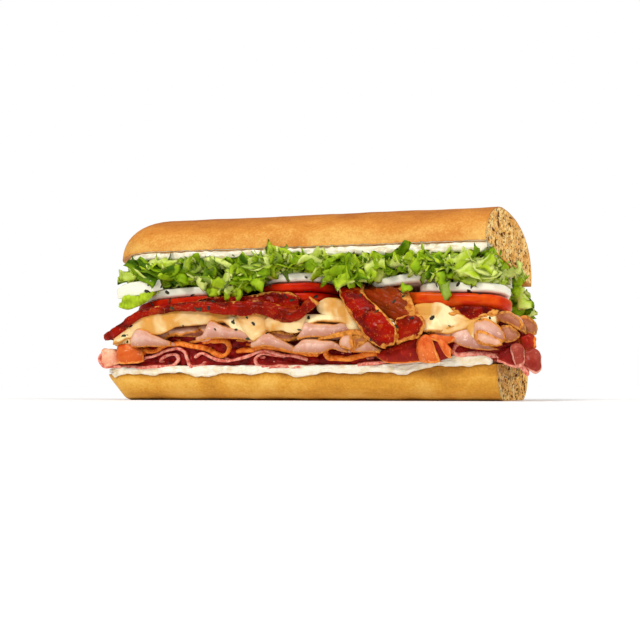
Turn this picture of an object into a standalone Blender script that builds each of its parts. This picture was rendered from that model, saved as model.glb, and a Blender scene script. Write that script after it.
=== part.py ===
"""A submarine sandwich: half of a long roll, split along its length and filled from end to end.

The design is drawn in millimetres. +X runs along the roll to its cut end, -Y is the open front and +Z is up.
Heights are those at the front. The filling is a wedge, so settle() lowers them towards the back.
The last step moves everything so that the origin lies under the middle of the whole sandwich.
"""

import math

import bmesh
import bpy
import numpy as np
from mathutils import Matrix
from mathutils.bvhtree import BVHTree

MM = 0.001

# The roll: half width, ends and the heights of its cut faces at the front and at the back.
HALF_WIDTH = 37.0
LOWER_LEFT_END = -104.5
UPPER_LEFT_END = -99.5
LOWER_CUT_END = (99.4, 98.4)
UPPER_CUT_END = (94.0, 100.5)
LOWER_CUT_HEIGHT = 13.5
LOWER_CUT_RISE = 3.5
BASE_HALF_WIDTH = 20.0
UPPER_EDGE_HEIGHTS = (73.0, 56.5)
CROWN_HEIGHT = 25.2
CROWN_POWER = 2.35
END_ROUND_POWER = 2.4
UPPER_END_ROUND = 30.0
LOWER_END_ROUND = 20.0
LOWER_END_LIFT = 12.0

# What lies between the two halves.
GAP = 0.3
SPREAD_THICKNESS = 3.0
SPREAD_OVERHANG = 2.3
BACK_SQUEEZE = 0.68
BACK_THINNING = 0.2
END_SLANT = 0.10
DROOP_START = -76.0
DROOP_REACH = 20.0
DROOP_DEPTH = 13.0
DROOP_POWER = 1.3

MEAT_THICKNESS = 1.3
HAM_THICKNESS = 1.4
CHEESE_THICKNESS = 1.8
BACON_THICKNESS = 2.2
LIP_RADIUS = 1.5
LIP_ANGLE = math.radians(80)

SHRED_SEED = 11
SHRED_CLEARANCE = 0.35
SHRED_REACH = (-102.0, 108.0, 47.5)

# Leaves that hang over the front: x, height they leave the heap at, run along x, drop and width.
HANGING_SHREDS = (
    (-80.0, 57.6, -8.0, 11.5, 8.0),
    (-37.0, 60.0, 2.0, 9.0, 7.0),
    (-30.0, 60.4, -4.0, 7.0, 5.0),
    (51.0, 61.4, 4.0, 8.0, 4.0),
    (74.0, 61.4, -3.0, 13.0, 4.5),
    (96.0, 56.4, 7.0, 10.0, 8.0),
)

# Height of the underside of the lettuce at the front, over the slices that it lies on.
BED_X = (-97, -84, -76, -50, -28, -18, -10, 20, 27, 37, 74, 80, 98)
BED_HEIGHT = (54.0, 55.4, 56.8, 57.6, 58.8, 61.4, 62.2, 62.2, 61.4, 60.2, 60.2, 55.4, 53.6)

COLOURS = {
    "crust": ((0.62, 0.33, 0.10), 0.55),
    "spread": ((0.86, 0.83, 0.72), 0.30),
    "capicola": ((0.45, 0.08, 0.08), 0.35),
    "salami": ((0.72, 0.20, 0.06), 0.35),
    "ham": ((0.80, 0.48, 0.42), 0.40),
    "cheese": ((0.88, 0.72, 0.42), 0.35),
    "bacon": ((0.42, 0.05, 0.03), 0.25),
    "tomato": ((0.62, 0.04, 0.02), 0.20),
    "onion": ((0.80, 0.82, 0.70), 0.25),
    "lettuce": ((0.30, 0.52, 0.07), 0.40),
}

# Folded slices seen edge on: (x, height) points of each slice's line at the front, with its front and back reach.
FOLDED_SLICES = {
    "capicola_1": (
        "capicola",
        (39.0, 38.0),
        [(-94.6, 24.4), (-99, 24.6), (-102, 22.6), (-101, 19.4), (-97, 18.2), (-88, 18), (-80, 18), (-67, 18), (-60.5, 18.8), (-58.8, 21),
         (-60.8, 23.3), (-65, 22.6), (-69.5, 20.4)],
    ),
    "capicola_2": (
        "capicola",
        (38.6, 38.4),
        [(-79, 20.3), (-72, 22.8), (-66, 25.1), (-60, 25.8), (-55.4, 24.1), (-54, 21), (-53, 18.9),
         (-49, 18), (-45.5, 18)],
    ),
    "capicola_3": (
        "capicola",
        (39.4, 37.6),
        [(-50.2, 21.6), (-46.5, 23.4), (-42, 21.8), (-36, 19.9), (-30, 19.9), (-24, 22), (-17, 24.6),
         (-10, 25.1), (-3, 23.6), (3, 21.6), (8, 20.4)],
    ),
    "capicola_4": (
        "capicola",
        (38.8, 38.2),
        [(-3.5, 21.3), (-9, 22.8), (-14.5, 22.6), (-18.3, 20.7), (-16.8, 18.4), (-11, 18), (0, 18), (12, 18.3)],
    ),
    "capicola_5": (
        "capicola",
        (39.6, 38.6),
        [(33, 18), (38, 18.1), (44, 18.7), (50, 19.2), (57, 20), (64.5, 20.6)],
    ),
    "capicola_6": (
        "capicola",
        (39.0, 37.0),
        [(101, 25), (97, 25.2), (90, 26.3), (84, 27.3), (80.5, 25.7), (79.6, 23.4), (82, 21.9), (88, 21.7),
         (97, 21.7), (105, 20.4), (110.5, 17.6), (113.5, 13)],
    ),
    "salami_1": (
        "salami",
        (38.2, 37.6),
        [(-90.4, 20.8), (-90.6, 23.6), (-86.5, 24.9), (-82, 25), (-76, 24.9), (-71, 26), (-66, 27.7), (-60, 28.2),
         (-54, 27.2), (-46, 25.5), (-41.5, 24.2), (-36.6, 22.2), (-33.1, 23.4), (-32, 26.4), (-34, 29.1),
         (-38, 29.9), (-43, 29.2), (-47, 28.4)],
    ),
    "salami_2": (
        "salami",
        (38.8, 37.2),
        [(-28.5, 24), (-23, 25.1), (-17, 26.9), (-10, 27.4), (-3, 26), (3, 24.1), (9, 22.7), (14, 22.2)],
    ),
    "salami_3": (
        "salami",
        (39.4, 38.0),
        [(38, 24.8), (31, 24.8), (25, 26.5), (20, 26.3), (17.6, 23.6), (19.2, 20.9), (24, 20), (31, 20.5),
         (38, 22), (46, 23.1)],
    ),
    "salami_4": (
        "salami",
        (38.4, 37.4),
        [(78, 29), (72, 29.8), (66.5, 29.6), (63.6, 26.6), (66, 23.4), (71, 23), (76, 24)],
    ),
    "salami_5": ("salami", (39.0, 38.4), [(50.5, 21.8), (55, 22.4), (60, 24), (60.6, 26.8), (57, 28.8)]),
    "salami_6": (
        "salami",
        (27.0, 30.0),
        [(93, 28.5), (101, 28.4), (107.6, 29.3), (111.6, 27.6), (112.2, 24.8), (109.6, 23.2), (106, 24.4)],
    ),
    "ham_roll": (
        "ham",
        (40.6, 38.0),
        [(58, 31.6), (51, 31.4), (45, 32.2), (40, 31.2), (38, 28.7), (40.5, 26.8), (45, 27.3), (49, 28.3)],
    ),
    "ham_curl": (
        "ham",
        (39.8, 36.0),
        [(97.5, 34), (92.5, 34.8), (87.8, 33.6), (86.4, 31.4), (88.8, 29.8), (94, 30.8), (100, 31.2), (107, 32.2),
         (111, 34.4), (109.4, 37.4), (104, 38.4), (98.6, 37.4)],
    ),
}

# Slices that lie flat and hang over the edges: x range, heights of both ends, reach to each edge, and how far
# the front edge hangs at even steps from left to right. The back edge hangs BACK_HANG times as far.
BACK_HANG = 0.55
DRAPED_SLICES = {
    "ham_1": ("ham", (-86, -60), (33.0, 33.0), (37.2, 36.4), (1.5, 4.5, 6.0, 5.0, 2.0)),
    "ham_2": ("ham", (-70, -48.5), (35.2, 35.2), (39.0, 38.2), (1.5, 5.0, 7.0, 5.0, 2.5)),
    "ham_3": ("ham", (-47, -17), (35.4, 35.4), (39.4, 38.2), (2.0, 8.0, 7.5, 5.5, 3.0)),
    "ham_4": ("ham", (-25, 4), (33.1, 33.1), (37.6, 36.4), (2.0, 5.5, 7.0, 7.5, 4.0)),
    "ham_5": ("ham", (2, 33), (35.2, 35.2), (39.4, 38.0), (2.0, 5.5, 5.0, 6.0, 3.0)),
    "ham_6": ("ham", (6.5, 35), (32.6, 32.6), (37.6, 36.2), (7.0, 7.5, 4.5, 4.5, 2.0)),
    "ham_7": ("ham", (61, 83.4), (34.4, 33.8), (39.0, 38.0), (2.0, 3.5, 5.5, 6.5, 3.0)),
    "cheese_1": ("cheese", (-92, -58), (39.0, 39.0), (41.0, 40.4), (3.0, 6.0, 7.5, 6.5, 4.0, 1.5)),
    "cheese_2": ("cheese", (-56.5, -14), (39.2, 39.2), (41.4, 40.4), (2.5, 3.5, 3.0, 4.0, 10.5, 3.0)),
    "cheese_3": ("cheese", (-12.5, 35), (39.2, 39.2), (41.4, 40.4), (3.0, 6.5, 6.5, 3.5, 4.0, 7.5)),
    "cheese_4": ("cheese", (48, 92), (40.2, 36.9), (41.0, 40.4), (4.0, 6.0, 8.5, 8.0, 5.0, 3.0)),
}

# Bacon that lies along the roll. At even steps: height of the flat part, how far its outer edge curls up from
# there, and how far it hangs from that ridge. Then the y of the ridge and of the inner edge.
BACON_STRIPS = {
    "bacon_front": (
        (-95.6, 12.5),
        (42.2, 42.0, 41.8, 41.7, 41.7, 41.7, 41.7, 42.4),
        (0.5, 1.6, 4.6, 5.6, 5.0, 3.2, 0.6, 3.0),
        (2.5, 3.5, 4.5, 5.0, 7.0, 8.0, 5.0, 2.0),
        (-44.0, -16.0),
    ),
    "bacon_back": (
        (-96, 46),
        (42.6, 42.6, 42.6, 42.6, 42.6, 42.6),
        (0.5, 1.5, 2.5, 1.5, 2.0, 1.0),
        (2.0, 3.0, 4.0, 3.5, 3.0, 2.0),
        (43.4, 20.0),
    ),
}

# Strips that come out from under the tomato and run down across the front: middle line, and the direction of
# the strip's width at each of its points, with half that width.
FRONT_STRIPS = {
    "bacon_fold": (
        [(27, -24, 43.6), (27.6, -33, 44.4), (29.5, -41, 46.6), (32.4, -46.4, 46.2), (36.5, -48.4, 41.6),
         (41, -49, 36), (45.6, -48.9, 30), (47.6, -48.6, 26.8)],
        [(1, 0, 0), (1, 0, 0.05), (0.95, 0, 0.3), (0.86, 0, 0.5), (0.8, 0, 0.6), (0.8, 0, 0.6),
         (0.86, 0, 0.5), (0.93, 0, 0.36)],
        7.0,
    ),
    "bacon_flap": (
        [(51, -45.2, 28.6), (54, -46.5, 31), (57.6, -48.1, 34), (61.4, -48.0, 37), (65, -46.8, 39.6)],
        [(-0.5, 0, 0.86), (-0.5, 0, 0.86), (-0.52, 0, 0.85), (-0.52, 0, 0.85), (-0.5, 0, 0.86)],
        6.2,
    ),
    "bacon_hood": (
        [(44, -22, 46.2), (44.4, -32, 47.4), (45.4, -41, 48.4), (47, -45, 45.6), (49.4, -45.4, 41),
         (51.6, -45.3, 37.8)],
        [(1, 0, 0), (1, 0, 0), (1, 0, -0.02), (0.98, 0, 0.1), (0.95, 0, 0.25), (0.95, 0, 0.3)],
        7.2,
    ),
}

# Oval slices that lie tilted: centre x, half width along x, half depth, height of the underside at the front,
# thickness and slope along x.
OVAL_SLICES = {
    "tomato_1": ("tomato", -53.2, 27.6, 38.4, 45.6, 5.0, 0.055),
    "tomato_2": ("tomato", -0.4, 24.4, 38.4, 47.2, 4.2, 0.000),
    "tomato_3": ("tomato", 82.0, 27.0, 39.5, 42.6, 5.2, -0.060),
    "tomato_4": ("tomato", 0.6, 22.4, 38.0, 51.8, 4.2, 0.010),
    "onion_1": ("onion", -84.0, 10.0, 34.0, 49.4, 4.6, 0.160),
    "onion_2": ("onion", -51.0, 22.0, 38.0, 51.2, 4.2, 0.055),
    "onion_3": ("onion", 4.0, 18.0, 37.5, 56.9, 4.2, 0.000),
    "onion_4": ("onion", 55.5, 17.0, 37.0, 55.0, 4.0, -0.010),
    "onion_5": ("onion", 86.0, 21.6, 38.0, 48.2, 4.4, -0.050),
}


def clear_scene():
    for item in list(bpy.data.objects):
        bpy.data.objects.remove(item)


def smoothstep(t):
    t = np.clip(t, 0.0, 1.0)
    return t * t * (3.0 - 2.0 * t)


def lower_cut_height(x):
    """Height of the lower half's cut face, which rises towards the cut end."""
    return LOWER_CUT_HEIGHT + LOWER_CUT_RISE * smoothstep((np.asarray(x, float) - 35.0) / 55.0)


def filling_floor(x):
    return lower_cut_height(x) + SPREAD_THICKNESS + 2 * GAP


def settle(x, y, z):
    """The height at depth y of something that lies at height z at the front."""
    share = (np.asarray(y, float) + HALF_WIDTH) / (2 * HALF_WIDTH)
    squeeze = 1.0 - (1.0 - BACK_SQUEEZE) * np.clip(share, -0.1, 1.1)
    floor = filling_floor(x)
    return floor + (z - floor) * squeeze


def place(x, y, z):
    """Points of the filling from drawn ones: sunk towards the back, and set in there at the cut end."""
    x, y, z = np.broadcast_arrays(np.asarray(x, float), y, z)
    inset = END_SLANT * (y + HALF_WIDTH) * smoothstep((x - 55.0) / 50.0)
    return np.stack([x - inset, y, settle(x, y, z)], axis=-1)


def droop(x):
    """How far the upper layers sink where they run out past the closed end."""
    share = np.clip((DROOP_START - np.asarray(x, float)) / DROOP_REACH, 0.0, 1.2)
    return DROOP_DEPTH * share**DROOP_POWER


def end_round(x, end, reach):
    """1 along the roll, falling to 0 at its closed end as a rounded end does."""
    share = np.clip((end + reach - x) / reach, 0.0, 1.0)
    return (1.0 - share**END_ROUND_POWER) ** (1.0 / END_ROUND_POWER)


def smooth_route(points, count):
    """Equally spaced points on a smooth curve through the given ones (a Catmull-Rom spline)."""
    p = np.array(points, float)
    p = np.vstack([2 * p[0] - p[1], p, 2 * p[-1] - p[-2]])
    t = np.linspace(0, 1, 24, endpoint=False)[:, None]
    spans = []
    for a, b, c, d in zip(p[:-3], p[1:-2], p[2:-1], p[3:]):
        spans.append(
            0.5 * (2 * b + (c - a) * t + (2 * a - 5 * b + 4 * c - d) * t**2 + (3 * b - a - 3 * c + d) * t**3)
        )
    curve = np.vstack([*spans, p[-2:-1]])
    run = np.concatenate([[0], np.cumsum(np.linalg.norm(np.diff(curve, axis=0), axis=1))])
    at = np.linspace(0, run[-1], count)
    return np.stack([np.interp(at, run, curve[:, k]) for k in range(curve.shape[1])], axis=1)


def spread_values(values, t):
    """Values given at even steps, read smoothly at t from 0 to 1."""
    steps = np.linspace(0, 1, len(values))
    fine = smooth_route(np.stack([steps, values], axis=1), 120)
    return np.interp(t, fine[:, 0], fine[:, 1])


def material(name):
    found = bpy.data.materials.get(name)
    if found:
        return found
    colour, roughness = COLOURS[name]
    made = bpy.data.materials.new(name)
    made.use_nodes = True
    shader = made.node_tree.nodes["Principled BSDF"]
    shader.inputs["Base Color"].default_value = (*colour, 1.0)
    shader.inputs["Roughness"].default_value = roughness
    shader.inputs["Metallic"].default_value = 0.0
    return made


def mesh_object(name, points, faces, finish):
    """An object from points in millimetres, with its faces turned outwards."""
    mesh = bpy.data.meshes.new(name)
    mesh.from_pydata((np.asarray(points) * MM).tolist(), [], [tuple(map(int, f)) for f in faces])
    bm = bmesh.new()
    bm.from_mesh(mesh)
    bmesh.ops.recalc_face_normals(bm, faces=bm.faces)
    if bm.calc_volume(signed=True) < 0:
        bmesh.ops.reverse_faces(bm, faces=bm.faces)
    bm.to_mesh(mesh)
    bm.free()
    mesh.materials.append(material(finish))
    mesh.shade_smooth()
    mesh.set_sharp_from_angle(angle=math.radians(50))
    made = bpy.data.objects.new(name, mesh)
    bpy.context.scene.collection.objects.link(made)
    return made


def grid_normals(grid):
    """Unit normals of a grid of points, from the lines along its rows and its columns."""
    cross = np.cross(np.gradient(grid, axis=0), np.gradient(grid, axis=1))
    return cross / np.maximum(np.linalg.norm(cross, axis=2, keepdims=True), 1e-9)


def sheet_mesh(middle, thickness):
    """Points and triangles of a closed sheet around a grid of middle points, both skins split alike."""
    rows, columns = middle.shape[:2]
    offset = grid_normals(middle) * thickness / 2
    points = np.concatenate([(middle + offset).reshape(-1, 3), (middle - offset).reshape(-1, 3)])
    index = np.arange(rows * columns).reshape(rows, columns)
    a, b = index[:-1, :-1].ravel(), index[1:, :-1].ravel()
    c, d = index[1:, 1:].ravel(), index[:-1, 1:].ravel()
    upper = np.concatenate([np.stack([a, b, c], 1), np.stack([a, c, d], 1)])
    lower = upper[:, ::-1] + rows * columns
    rim = np.concatenate([index[0, :-1], index[:-1, -1], index[-1, :0:-1], index[:0:-1, 0]])
    after = np.roll(rim, -1)
    below, below_after = rim + rows * columns, after + rows * columns
    walls = np.concatenate([np.stack([rim, after, below_after], 1), np.stack([rim, below_after, below], 1)])
    return points, np.concatenate([upper, lower, walls])


def loft_mesh(sections):
    """Points and triangles of a solid through closed sections of equally many points, with flat ends."""
    count, around = sections.shape[:2]
    points = sections.reshape(-1, 3)
    index = np.arange(count * around).reshape(count, around)
    after = np.roll(index, -1, axis=1)
    a, b = index[:-1].ravel(), index[1:].ravel()
    c, d = after[1:].ravel(), after[:-1].ravel()
    sides = np.concatenate([np.stack([a, b, c], 1), np.stack([a, c, d], 1)])
    faces = [tuple(f) for f in sides]
    faces.append(tuple(index[0][::-1]))
    faces.append(tuple(index[-1]))
    return points, faces


def end_stations(left_end, reach, right_end, along):
    """x positions of a roll's sections, close together round its closed end."""
    rounded = left_end + reach * (1 - np.array([0.9975, 0.975, 0.91, 0.8, 0.62, 0.36, 0.0]))
    return np.concatenate([rounded, np.linspace(rounded[-1], right_end, along + 1)[1:]])


def upper_half():
    """The upper half of the roll: a crown over a flat cut face, tilted because it gapes at the front."""
    angles = np.linspace(0, math.pi, 17)
    across = -np.sign(np.cos(angles)) * np.abs(np.cos(angles)) ** (2 / CROWN_POWER)
    high = np.abs(np.sin(angles)) ** (2 / CROWN_POWER)
    cut = np.linspace(1, -1, 7)[1:-1]
    across = np.concatenate([across, cut])
    high = np.concatenate([high, np.zeros(len(cut))])
    front, back = UPPER_EDGE_HEIGHTS
    tilt = math.atan2(front - back, 2 * HALF_WIDTH)
    sections = []
    for x in end_stations(UPPER_LEFT_END, UPPER_END_ROUND, 96.0, 9):
        round_off = end_round(x, UPPER_LEFT_END, UPPER_END_ROUND)
        swell = 1 + 0.012 * math.sin(x / 17.0) + 0.010 * math.sin(x / 7.3 + 1.0)
        y = across * HALF_WIDTH * (0.35 + 0.65 * round_off) * (0.99 + 0.01 * swell)
        z = high * CROWN_HEIGHT * (0.30 + 0.70 * round_off) * swell
        lift = (1 - round_off) * 1.5
        world_y = y * math.cos(tilt) + z * math.sin(tilt)
        world_z = (front + back) / 2 - y * math.sin(tilt) + z * math.cos(tilt) + lift
        slant = (x - UPPER_LEFT_END) / (96.0 - UPPER_LEFT_END)
        skew = np.interp(y, (-HALF_WIDTH, HALF_WIDTH), UPPER_CUT_END) - 96.0
        sections.append(np.stack([x + skew * slant**6, world_y, world_z], axis=1))
    return mesh_object("bread_top", *loft_mesh(np.array(sections)), "crust")


def lower_half():
    """The lower half of the roll: a flat base, rounded sides and a flat cut face."""
    angles = np.linspace(0, math.pi / 2, 8)
    out = BASE_HALF_WIDTH + (HALF_WIDTH - BASE_HALF_WIDTH) * np.cos(angles) ** (2 / 2.3)
    down = np.sin(angles) ** (2 / 2.3)
    cut = np.linspace(1, -1, 8)[1:-1]
    base = np.array([0.0])
    across = np.concatenate([-out, base, out[::-1], cut * HALF_WIDTH])
    depth = np.concatenate([down, [1.0], down[::-1], np.zeros(len(cut))])
    sections = []
    for x in end_stations(LOWER_LEFT_END, LOWER_END_ROUND, 98.4, 9):
        round_off = end_round(x, LOWER_LEFT_END, LOWER_END_ROUND)
        ramp = np.clip((LOWER_LEFT_END + LOWER_END_LIFT - x) / LOWER_END_LIFT, 0, 1)
        top = float(lower_cut_height(x)) - 0.8 * ramp
        bottom = 9.5 * ramp**1.25
        y = across * (0.45 + 0.55 * round_off)
        z = top - depth * (top - bottom)
        slant = (x - LOWER_LEFT_END) / (98.4 - LOWER_LEFT_END)
        skew = np.interp(y, (-HALF_WIDTH, HALF_WIDTH), LOWER_CUT_END) - 98.4
        sections.append(np.stack([x + skew * slant**6, y, z], axis=1))
    return mesh_object("bread_bottom", *loft_mesh(np.array(sections)), "crust")


def scallop(x, phase):
    """The uneven edge of a spread, from 0 to 1."""
    return 0.5 + 0.25 * np.sin(x / 4.1 + phase) + 0.25 * np.sin(x / 7.7 + 2.0 * phase)


def lower_spread():
    """A thick spread on the lower half that bulges out and laps over the crust's edge."""
    sections = []
    for x in np.linspace(-94, 95, 20):
        floor = float(lower_cut_height(x)) + GAP
        width = HALF_WIDTH * (0.45 + 0.55 * end_round(x, LOWER_LEFT_END, LOWER_END_ROUND))
        end = smoothstep(min(x + 94.0, 95.0 - x) / 6.0)
        lap_front, lap_back = (2.2 * scallop(x, 0.4) * end, 2.2 * scallop(x, 2.1) * end)
        thick = SPREAD_THICKNESS * (0.75 + 0.25 * end)
        out = SPREAD_OVERHANG * (0.25 + 0.75 * end)
        side = [(0.45, -1.0), (0.62 * out + 0.4, -0.6), (out, 0.45), (0.55 * out, 0.9), (-3.0, 1.0)]
        front = [(-width - dy, floor + (dz * lap_front if dz < 0 else dz * thick)) for dy, dz in side]
        back = [(width + dy, floor + (dz * lap_back if dz < 0 else dz * thick)) for dy, dz in side]
        middle = [(0.0, floor + thick)]
        under = [(width + 0.45, floor), (0.0, floor), (-width - 0.45, floor)]
        loop = front + middle + back[::-1] + under
        sections.append([(x, y, z) for y, z in loop])
    return mesh_object("spread_bottom", *loft_mesh(np.array(sections)), "spread")


def upper_spread():
    """The spread on the upper half's cut face, with an uneven edge that shows under the crust."""
    front, back = UPPER_EDGE_HEIGHTS
    tilt = math.atan2(front - back, 2 * HALF_WIDTH)
    sections = []
    for x in np.linspace(-88, 91, 18):
        width = HALF_WIDTH * (0.35 + 0.65 * end_round(x, UPPER_LEFT_END, UPPER_END_ROUND)) - 0.6
        end = smoothstep(min(x + 88.0, 91.0 - x) / 6.0)
        thick = SPREAD_THICKNESS * (0.6 + 0.4 * end)
        bulge = 1.2 * scallop(x, 1.3) * end
        loop = [(-width, 0), (-width - bulge, -0.35), (-width - 0.6 * bulge, -0.85), (-width + 3, -1), (0, -1)]
        loop += [(width - 3, -1), (width + 0.6 * bulge, -0.85), (width + bulge, -0.35), (width, 0), (0, 0)]
        y = np.array([p[0] for p in loop], float)
        z = np.array([p[1] for p in loop], float) * thick - GAP
        world_y = y * math.cos(tilt) + z * math.sin(tilt)
        world_z = (front + back) / 2 - y * math.sin(tilt) + z * math.cos(tilt)
        sections.append(np.stack([np.full(len(y), x), world_y, world_z], axis=1))
    return mesh_object("spread_top", *loft_mesh(np.array(sections)), "spread")


def folded_slice(name):
    """A folded slice: its line at the front carried through the filling from front to back."""
    finish, (front, back), points = FOLDED_SLICES[name]
    length = sum(math.dist(a, b) for a, b in zip(points, points[1:]))
    line = smooth_route(points, max(10, round(length / 3.3)))
    along = np.linspace(0, 1, len(line))
    corner = 5.0 * np.abs(2 * along - 1) ** 6
    ripple = 0.7 * np.sin(line[:, 0] / 3.7)
    stations = np.array([0.0, 0.14, 0.86, 1.0])
    near = -front + corner + ripple
    far = back - corner + ripple
    y = near[:, None] + (far - near)[:, None] * stations[None, :]
    thickness = HAM_THICKNESS if finish == "ham" else MEAT_THICKNESS
    thinning = np.broadcast_to(1 - BACK_THINNING * stations, y.shape)[..., None]
    return mesh_object(name, *sheet_mesh(place(line[:, :1], y, line[:, 1:2]), thickness * thinning), finish)


def hang_over(y_flat, reach, hang):
    """(outward, down) of a strip that lies flat to its reach and then hangs by a length."""
    over = np.clip(y_flat - reach, 0, None)
    turned = np.minimum(over / LIP_RADIUS, LIP_ANGLE)
    straight = np.clip(over - LIP_RADIUS * LIP_ANGLE, 0, None)
    out = np.minimum(y_flat, reach) + LIP_RADIUS * np.sin(turned) + straight * math.cos(LIP_ANGLE)
    down = LIP_RADIUS * (1 - np.cos(turned)) + straight * math.sin(LIP_ANGLE)
    return out, down


def draped_slice(name):
    """A slice that lies flat in the filling and hangs over its front and back edges."""
    finish, (left, right), ends, (front, back), hangs = DRAPED_SLICES[name]
    t = np.linspace(0, 1, 8)
    x = left + (right - left) * t
    height = np.interp(t, (0, 1), ends)
    hang = np.maximum(spread_values(hangs, t), 1.0)
    thickness = CHEESE_THICKNESS if finish == "cheese" else HAM_THICKNESS
    rows = []
    for xi, zi, hi in zip(x, height, hang):
        flat = [-front - hi, -front - 0.5 * hi - 0.8, -front - 0.7, -front + 2.0]
        flat += [back - 2.0, back + 0.8, back + BACK_HANG * hi + 0.9]
        row = []
        for y_flat in flat:
            reach = front if y_flat < 0 else back
            out, down = hang_over(abs(y_flat), reach, hi)
            y = math.copysign(out, y_flat)
            lean = 0.4 * math.sin(xi / 4.3) * float(smoothstep(down / 2.0))
            spot = place(xi, np.clip(y, -front, back), zi - droop(xi))
            row.append((spot[0], y + lean, spot[2] - down))
        rows.append(row)
    return mesh_object(name, *sheet_mesh(np.array(rows), thickness), finish)


def bacon_strip(name):
    """A rippled strip along the roll whose outer edge curls up and then hangs over the slices below."""
    (left, right), heights, rises, hangs, (ridge, inner) = BACON_STRIPS[name]
    t = np.linspace(0, 1, 17)
    x = left + (right - left) * t
    base = spread_values(heights, t)
    top = base + np.maximum(spread_values(rises, t), 0.3) + 0.3 * np.sin(x / 4.2)
    hang = np.maximum(spread_values(hangs, t), 1.5) * (1 + 0.08 * np.sin(x / 2.9))
    side = math.copysign(1.0, ridge)
    y = np.array([inner, ridge - 8.0 * side, ridge - 3.2 * side, ridge, ridge + 1.8 * side, ridge + 2.0 * side])
    rows = []
    for xi, low, high, down in zip(x, base, top, hang):
        z = np.array([low, low, low + 0.55 * (high - low), high, high - 0.5 * down, high - down])
        rows.append(place(xi, y + 0.5 * math.sin(xi / 6.1), z - droop(xi)))
    thickness = BACON_THICKNESS * (1 - BACK_THINNING * (side > 0))
    return mesh_object(name, *sheet_mesh(np.array(rows), thickness), "bacon")


def front_strip(name):
    """A strip that comes out from under the tomato and runs down across the front."""
    points, widths, half = FRONT_STRIPS[name]
    count = 2 * len(points) - 2
    line = smooth_route(points, count)
    wide = smooth_route(widths, count)
    wide /= np.linalg.norm(wide, axis=1, keepdims=True)
    edge = half * (1 + 0.07 * np.sin(np.linspace(0, 9, count)))
    across = np.linspace(-1, 1, 4)
    grid = line[:, None, :] + wide[:, None, :] * (edge[:, None] * across[None, :])[..., None]
    return mesh_object(name, *sheet_mesh(grid, BACON_THICKNESS), "bacon")


def short_bacon():
    """A short strip under the right-hand tomato, laid from front to back."""
    y = np.linspace(-43.5, -8.0, 9)
    across = np.linspace(-1, 1, 5)
    x = 84.0 + 12.0 * across[None, :] + 0.8 * np.sin(y / 3.3)[:, None]
    z = 40.8 - 0.06 * (x - 72.0) + (0.25 * np.sin(y / 2.8) - 1.0 * smoothstep((-41.0 - y) / 2.5))[:, None]
    return mesh_object("bacon_short", *sheet_mesh(place(x, y[:, None], z), BACON_THICKNESS), "bacon")


def oval_slice(name):
    """A round or oval slice with a rounded rim, lying on the tilted pile."""
    finish, centre, half_x, half_y, height, thickness, slope = OVAL_SLICES[name]
    turn = np.linspace(0, 2 * math.pi, 22, endpoint=False)
    profile = [(0.93, 0.0), (1.0, 0.28), (1.0, 0.72), (0.93, 1.0)]
    points = []
    for scale, level in profile:
        x = centre + half_x * scale * np.cos(turn)
        y = half_y * (1 - (1 - scale) * half_x / half_y) * np.sin(turn)
        z = settle(centre, y, height + level * thickness) + slope * (x - centre)
        points.append(np.stack([x, y, z], axis=1))
    return mesh_object(name, *loft_mesh(np.array(points)), finish)


def bed_height(x, y):
    return settle(x, y, np.interp(x, BED_X, BED_HEIGHT))


def lettuce_core():
    """The pressed middle of the shredded lettuce, between the slices and the upper spread."""
    x = np.linspace(-92, 98, 21)
    y = np.linspace(-34, 34, 6)
    gx, gy = np.meshgrid(x, y, indexing="ij")
    gy = gy * (1 + 0.03 * np.sin(gx / 6.3))
    front, back = UPPER_EDGE_HEIGHTS
    roof = np.interp(gy, (-HALF_WIDTH, HALF_WIDTH), (front, back)) - SPREAD_THICKNESS - 3 * GAP - 0.9
    lower = bed_height(gx, gy) + 0.3 * np.sin(gx / 4.4) * np.cos(gy / 6.0)
    upper = roof - 0.6 - 0.6 * np.sin(gx / 5.2 + gy / 4.0)
    top = np.stack([gx, gy, upper], axis=2)
    bottom = np.stack([gx, gy, lower], axis=2)
    rows, columns = gx.shape
    middle = (top + bottom) / 2
    points, faces = sheet_mesh(middle, 1.0)
    points[: rows * columns] = top.reshape(-1, 3)
    points[rows * columns :] = bottom.reshape(-1, 3)
    return mesh_object("lettuce", points, faces, "lettuce")


def shred_grid(rng, base, heading, length, width, curl):
    """Middle grid of one curled shred that leaves base along heading."""
    t = np.linspace(0, 1, 4)
    heading = heading / np.linalg.norm(heading)
    side = np.cross(heading, rng.normal(size=3))
    side /= np.linalg.norm(side)
    lift = np.cross(side, heading)
    bend = curl * np.sin(np.pi * t)
    line = base + heading * (length * t)[:, None] + lift * bend[:, None]
    twist = rng.uniform(-0.9, 0.9) * t
    wide = side * np.cos(twist)[:, None] + lift * np.sin(twist)[:, None]
    half = width * (0.35 + 0.65 * np.sin(np.pi * np.clip(t * 0.9 + 0.08, 0, 1)))
    return np.stack([line - wide * half[:, None] / 2, line + wide * half[:, None] / 2], axis=1)


def hanging_shred(x, height, run, drop, width):
    """Middle grid of a leaf that comes out of the heap and hangs down in front of the slices."""
    line = smooth_route(
        [(x, -31, height), (x, -38, height + 0.6), (x + 0.3 * run, -42, height - 1.5),
         (x + 0.7 * run, -43, height - 0.6 * drop), (x + run, -43.2, height - drop)],
        6,
    )
    half = np.array([0.5, 0.8, 1.0, 1.0, 0.8, 0.35])[:, None] * width / 2
    tilt = np.array([1.0, 0.0, 0.12])
    return np.stack([line - tilt * half, line + tilt * half], axis=1)


def tree_of(thing):
    return BVHTree.FromObject(thing, bpy.context.evaluated_depsgraph_get())


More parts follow.
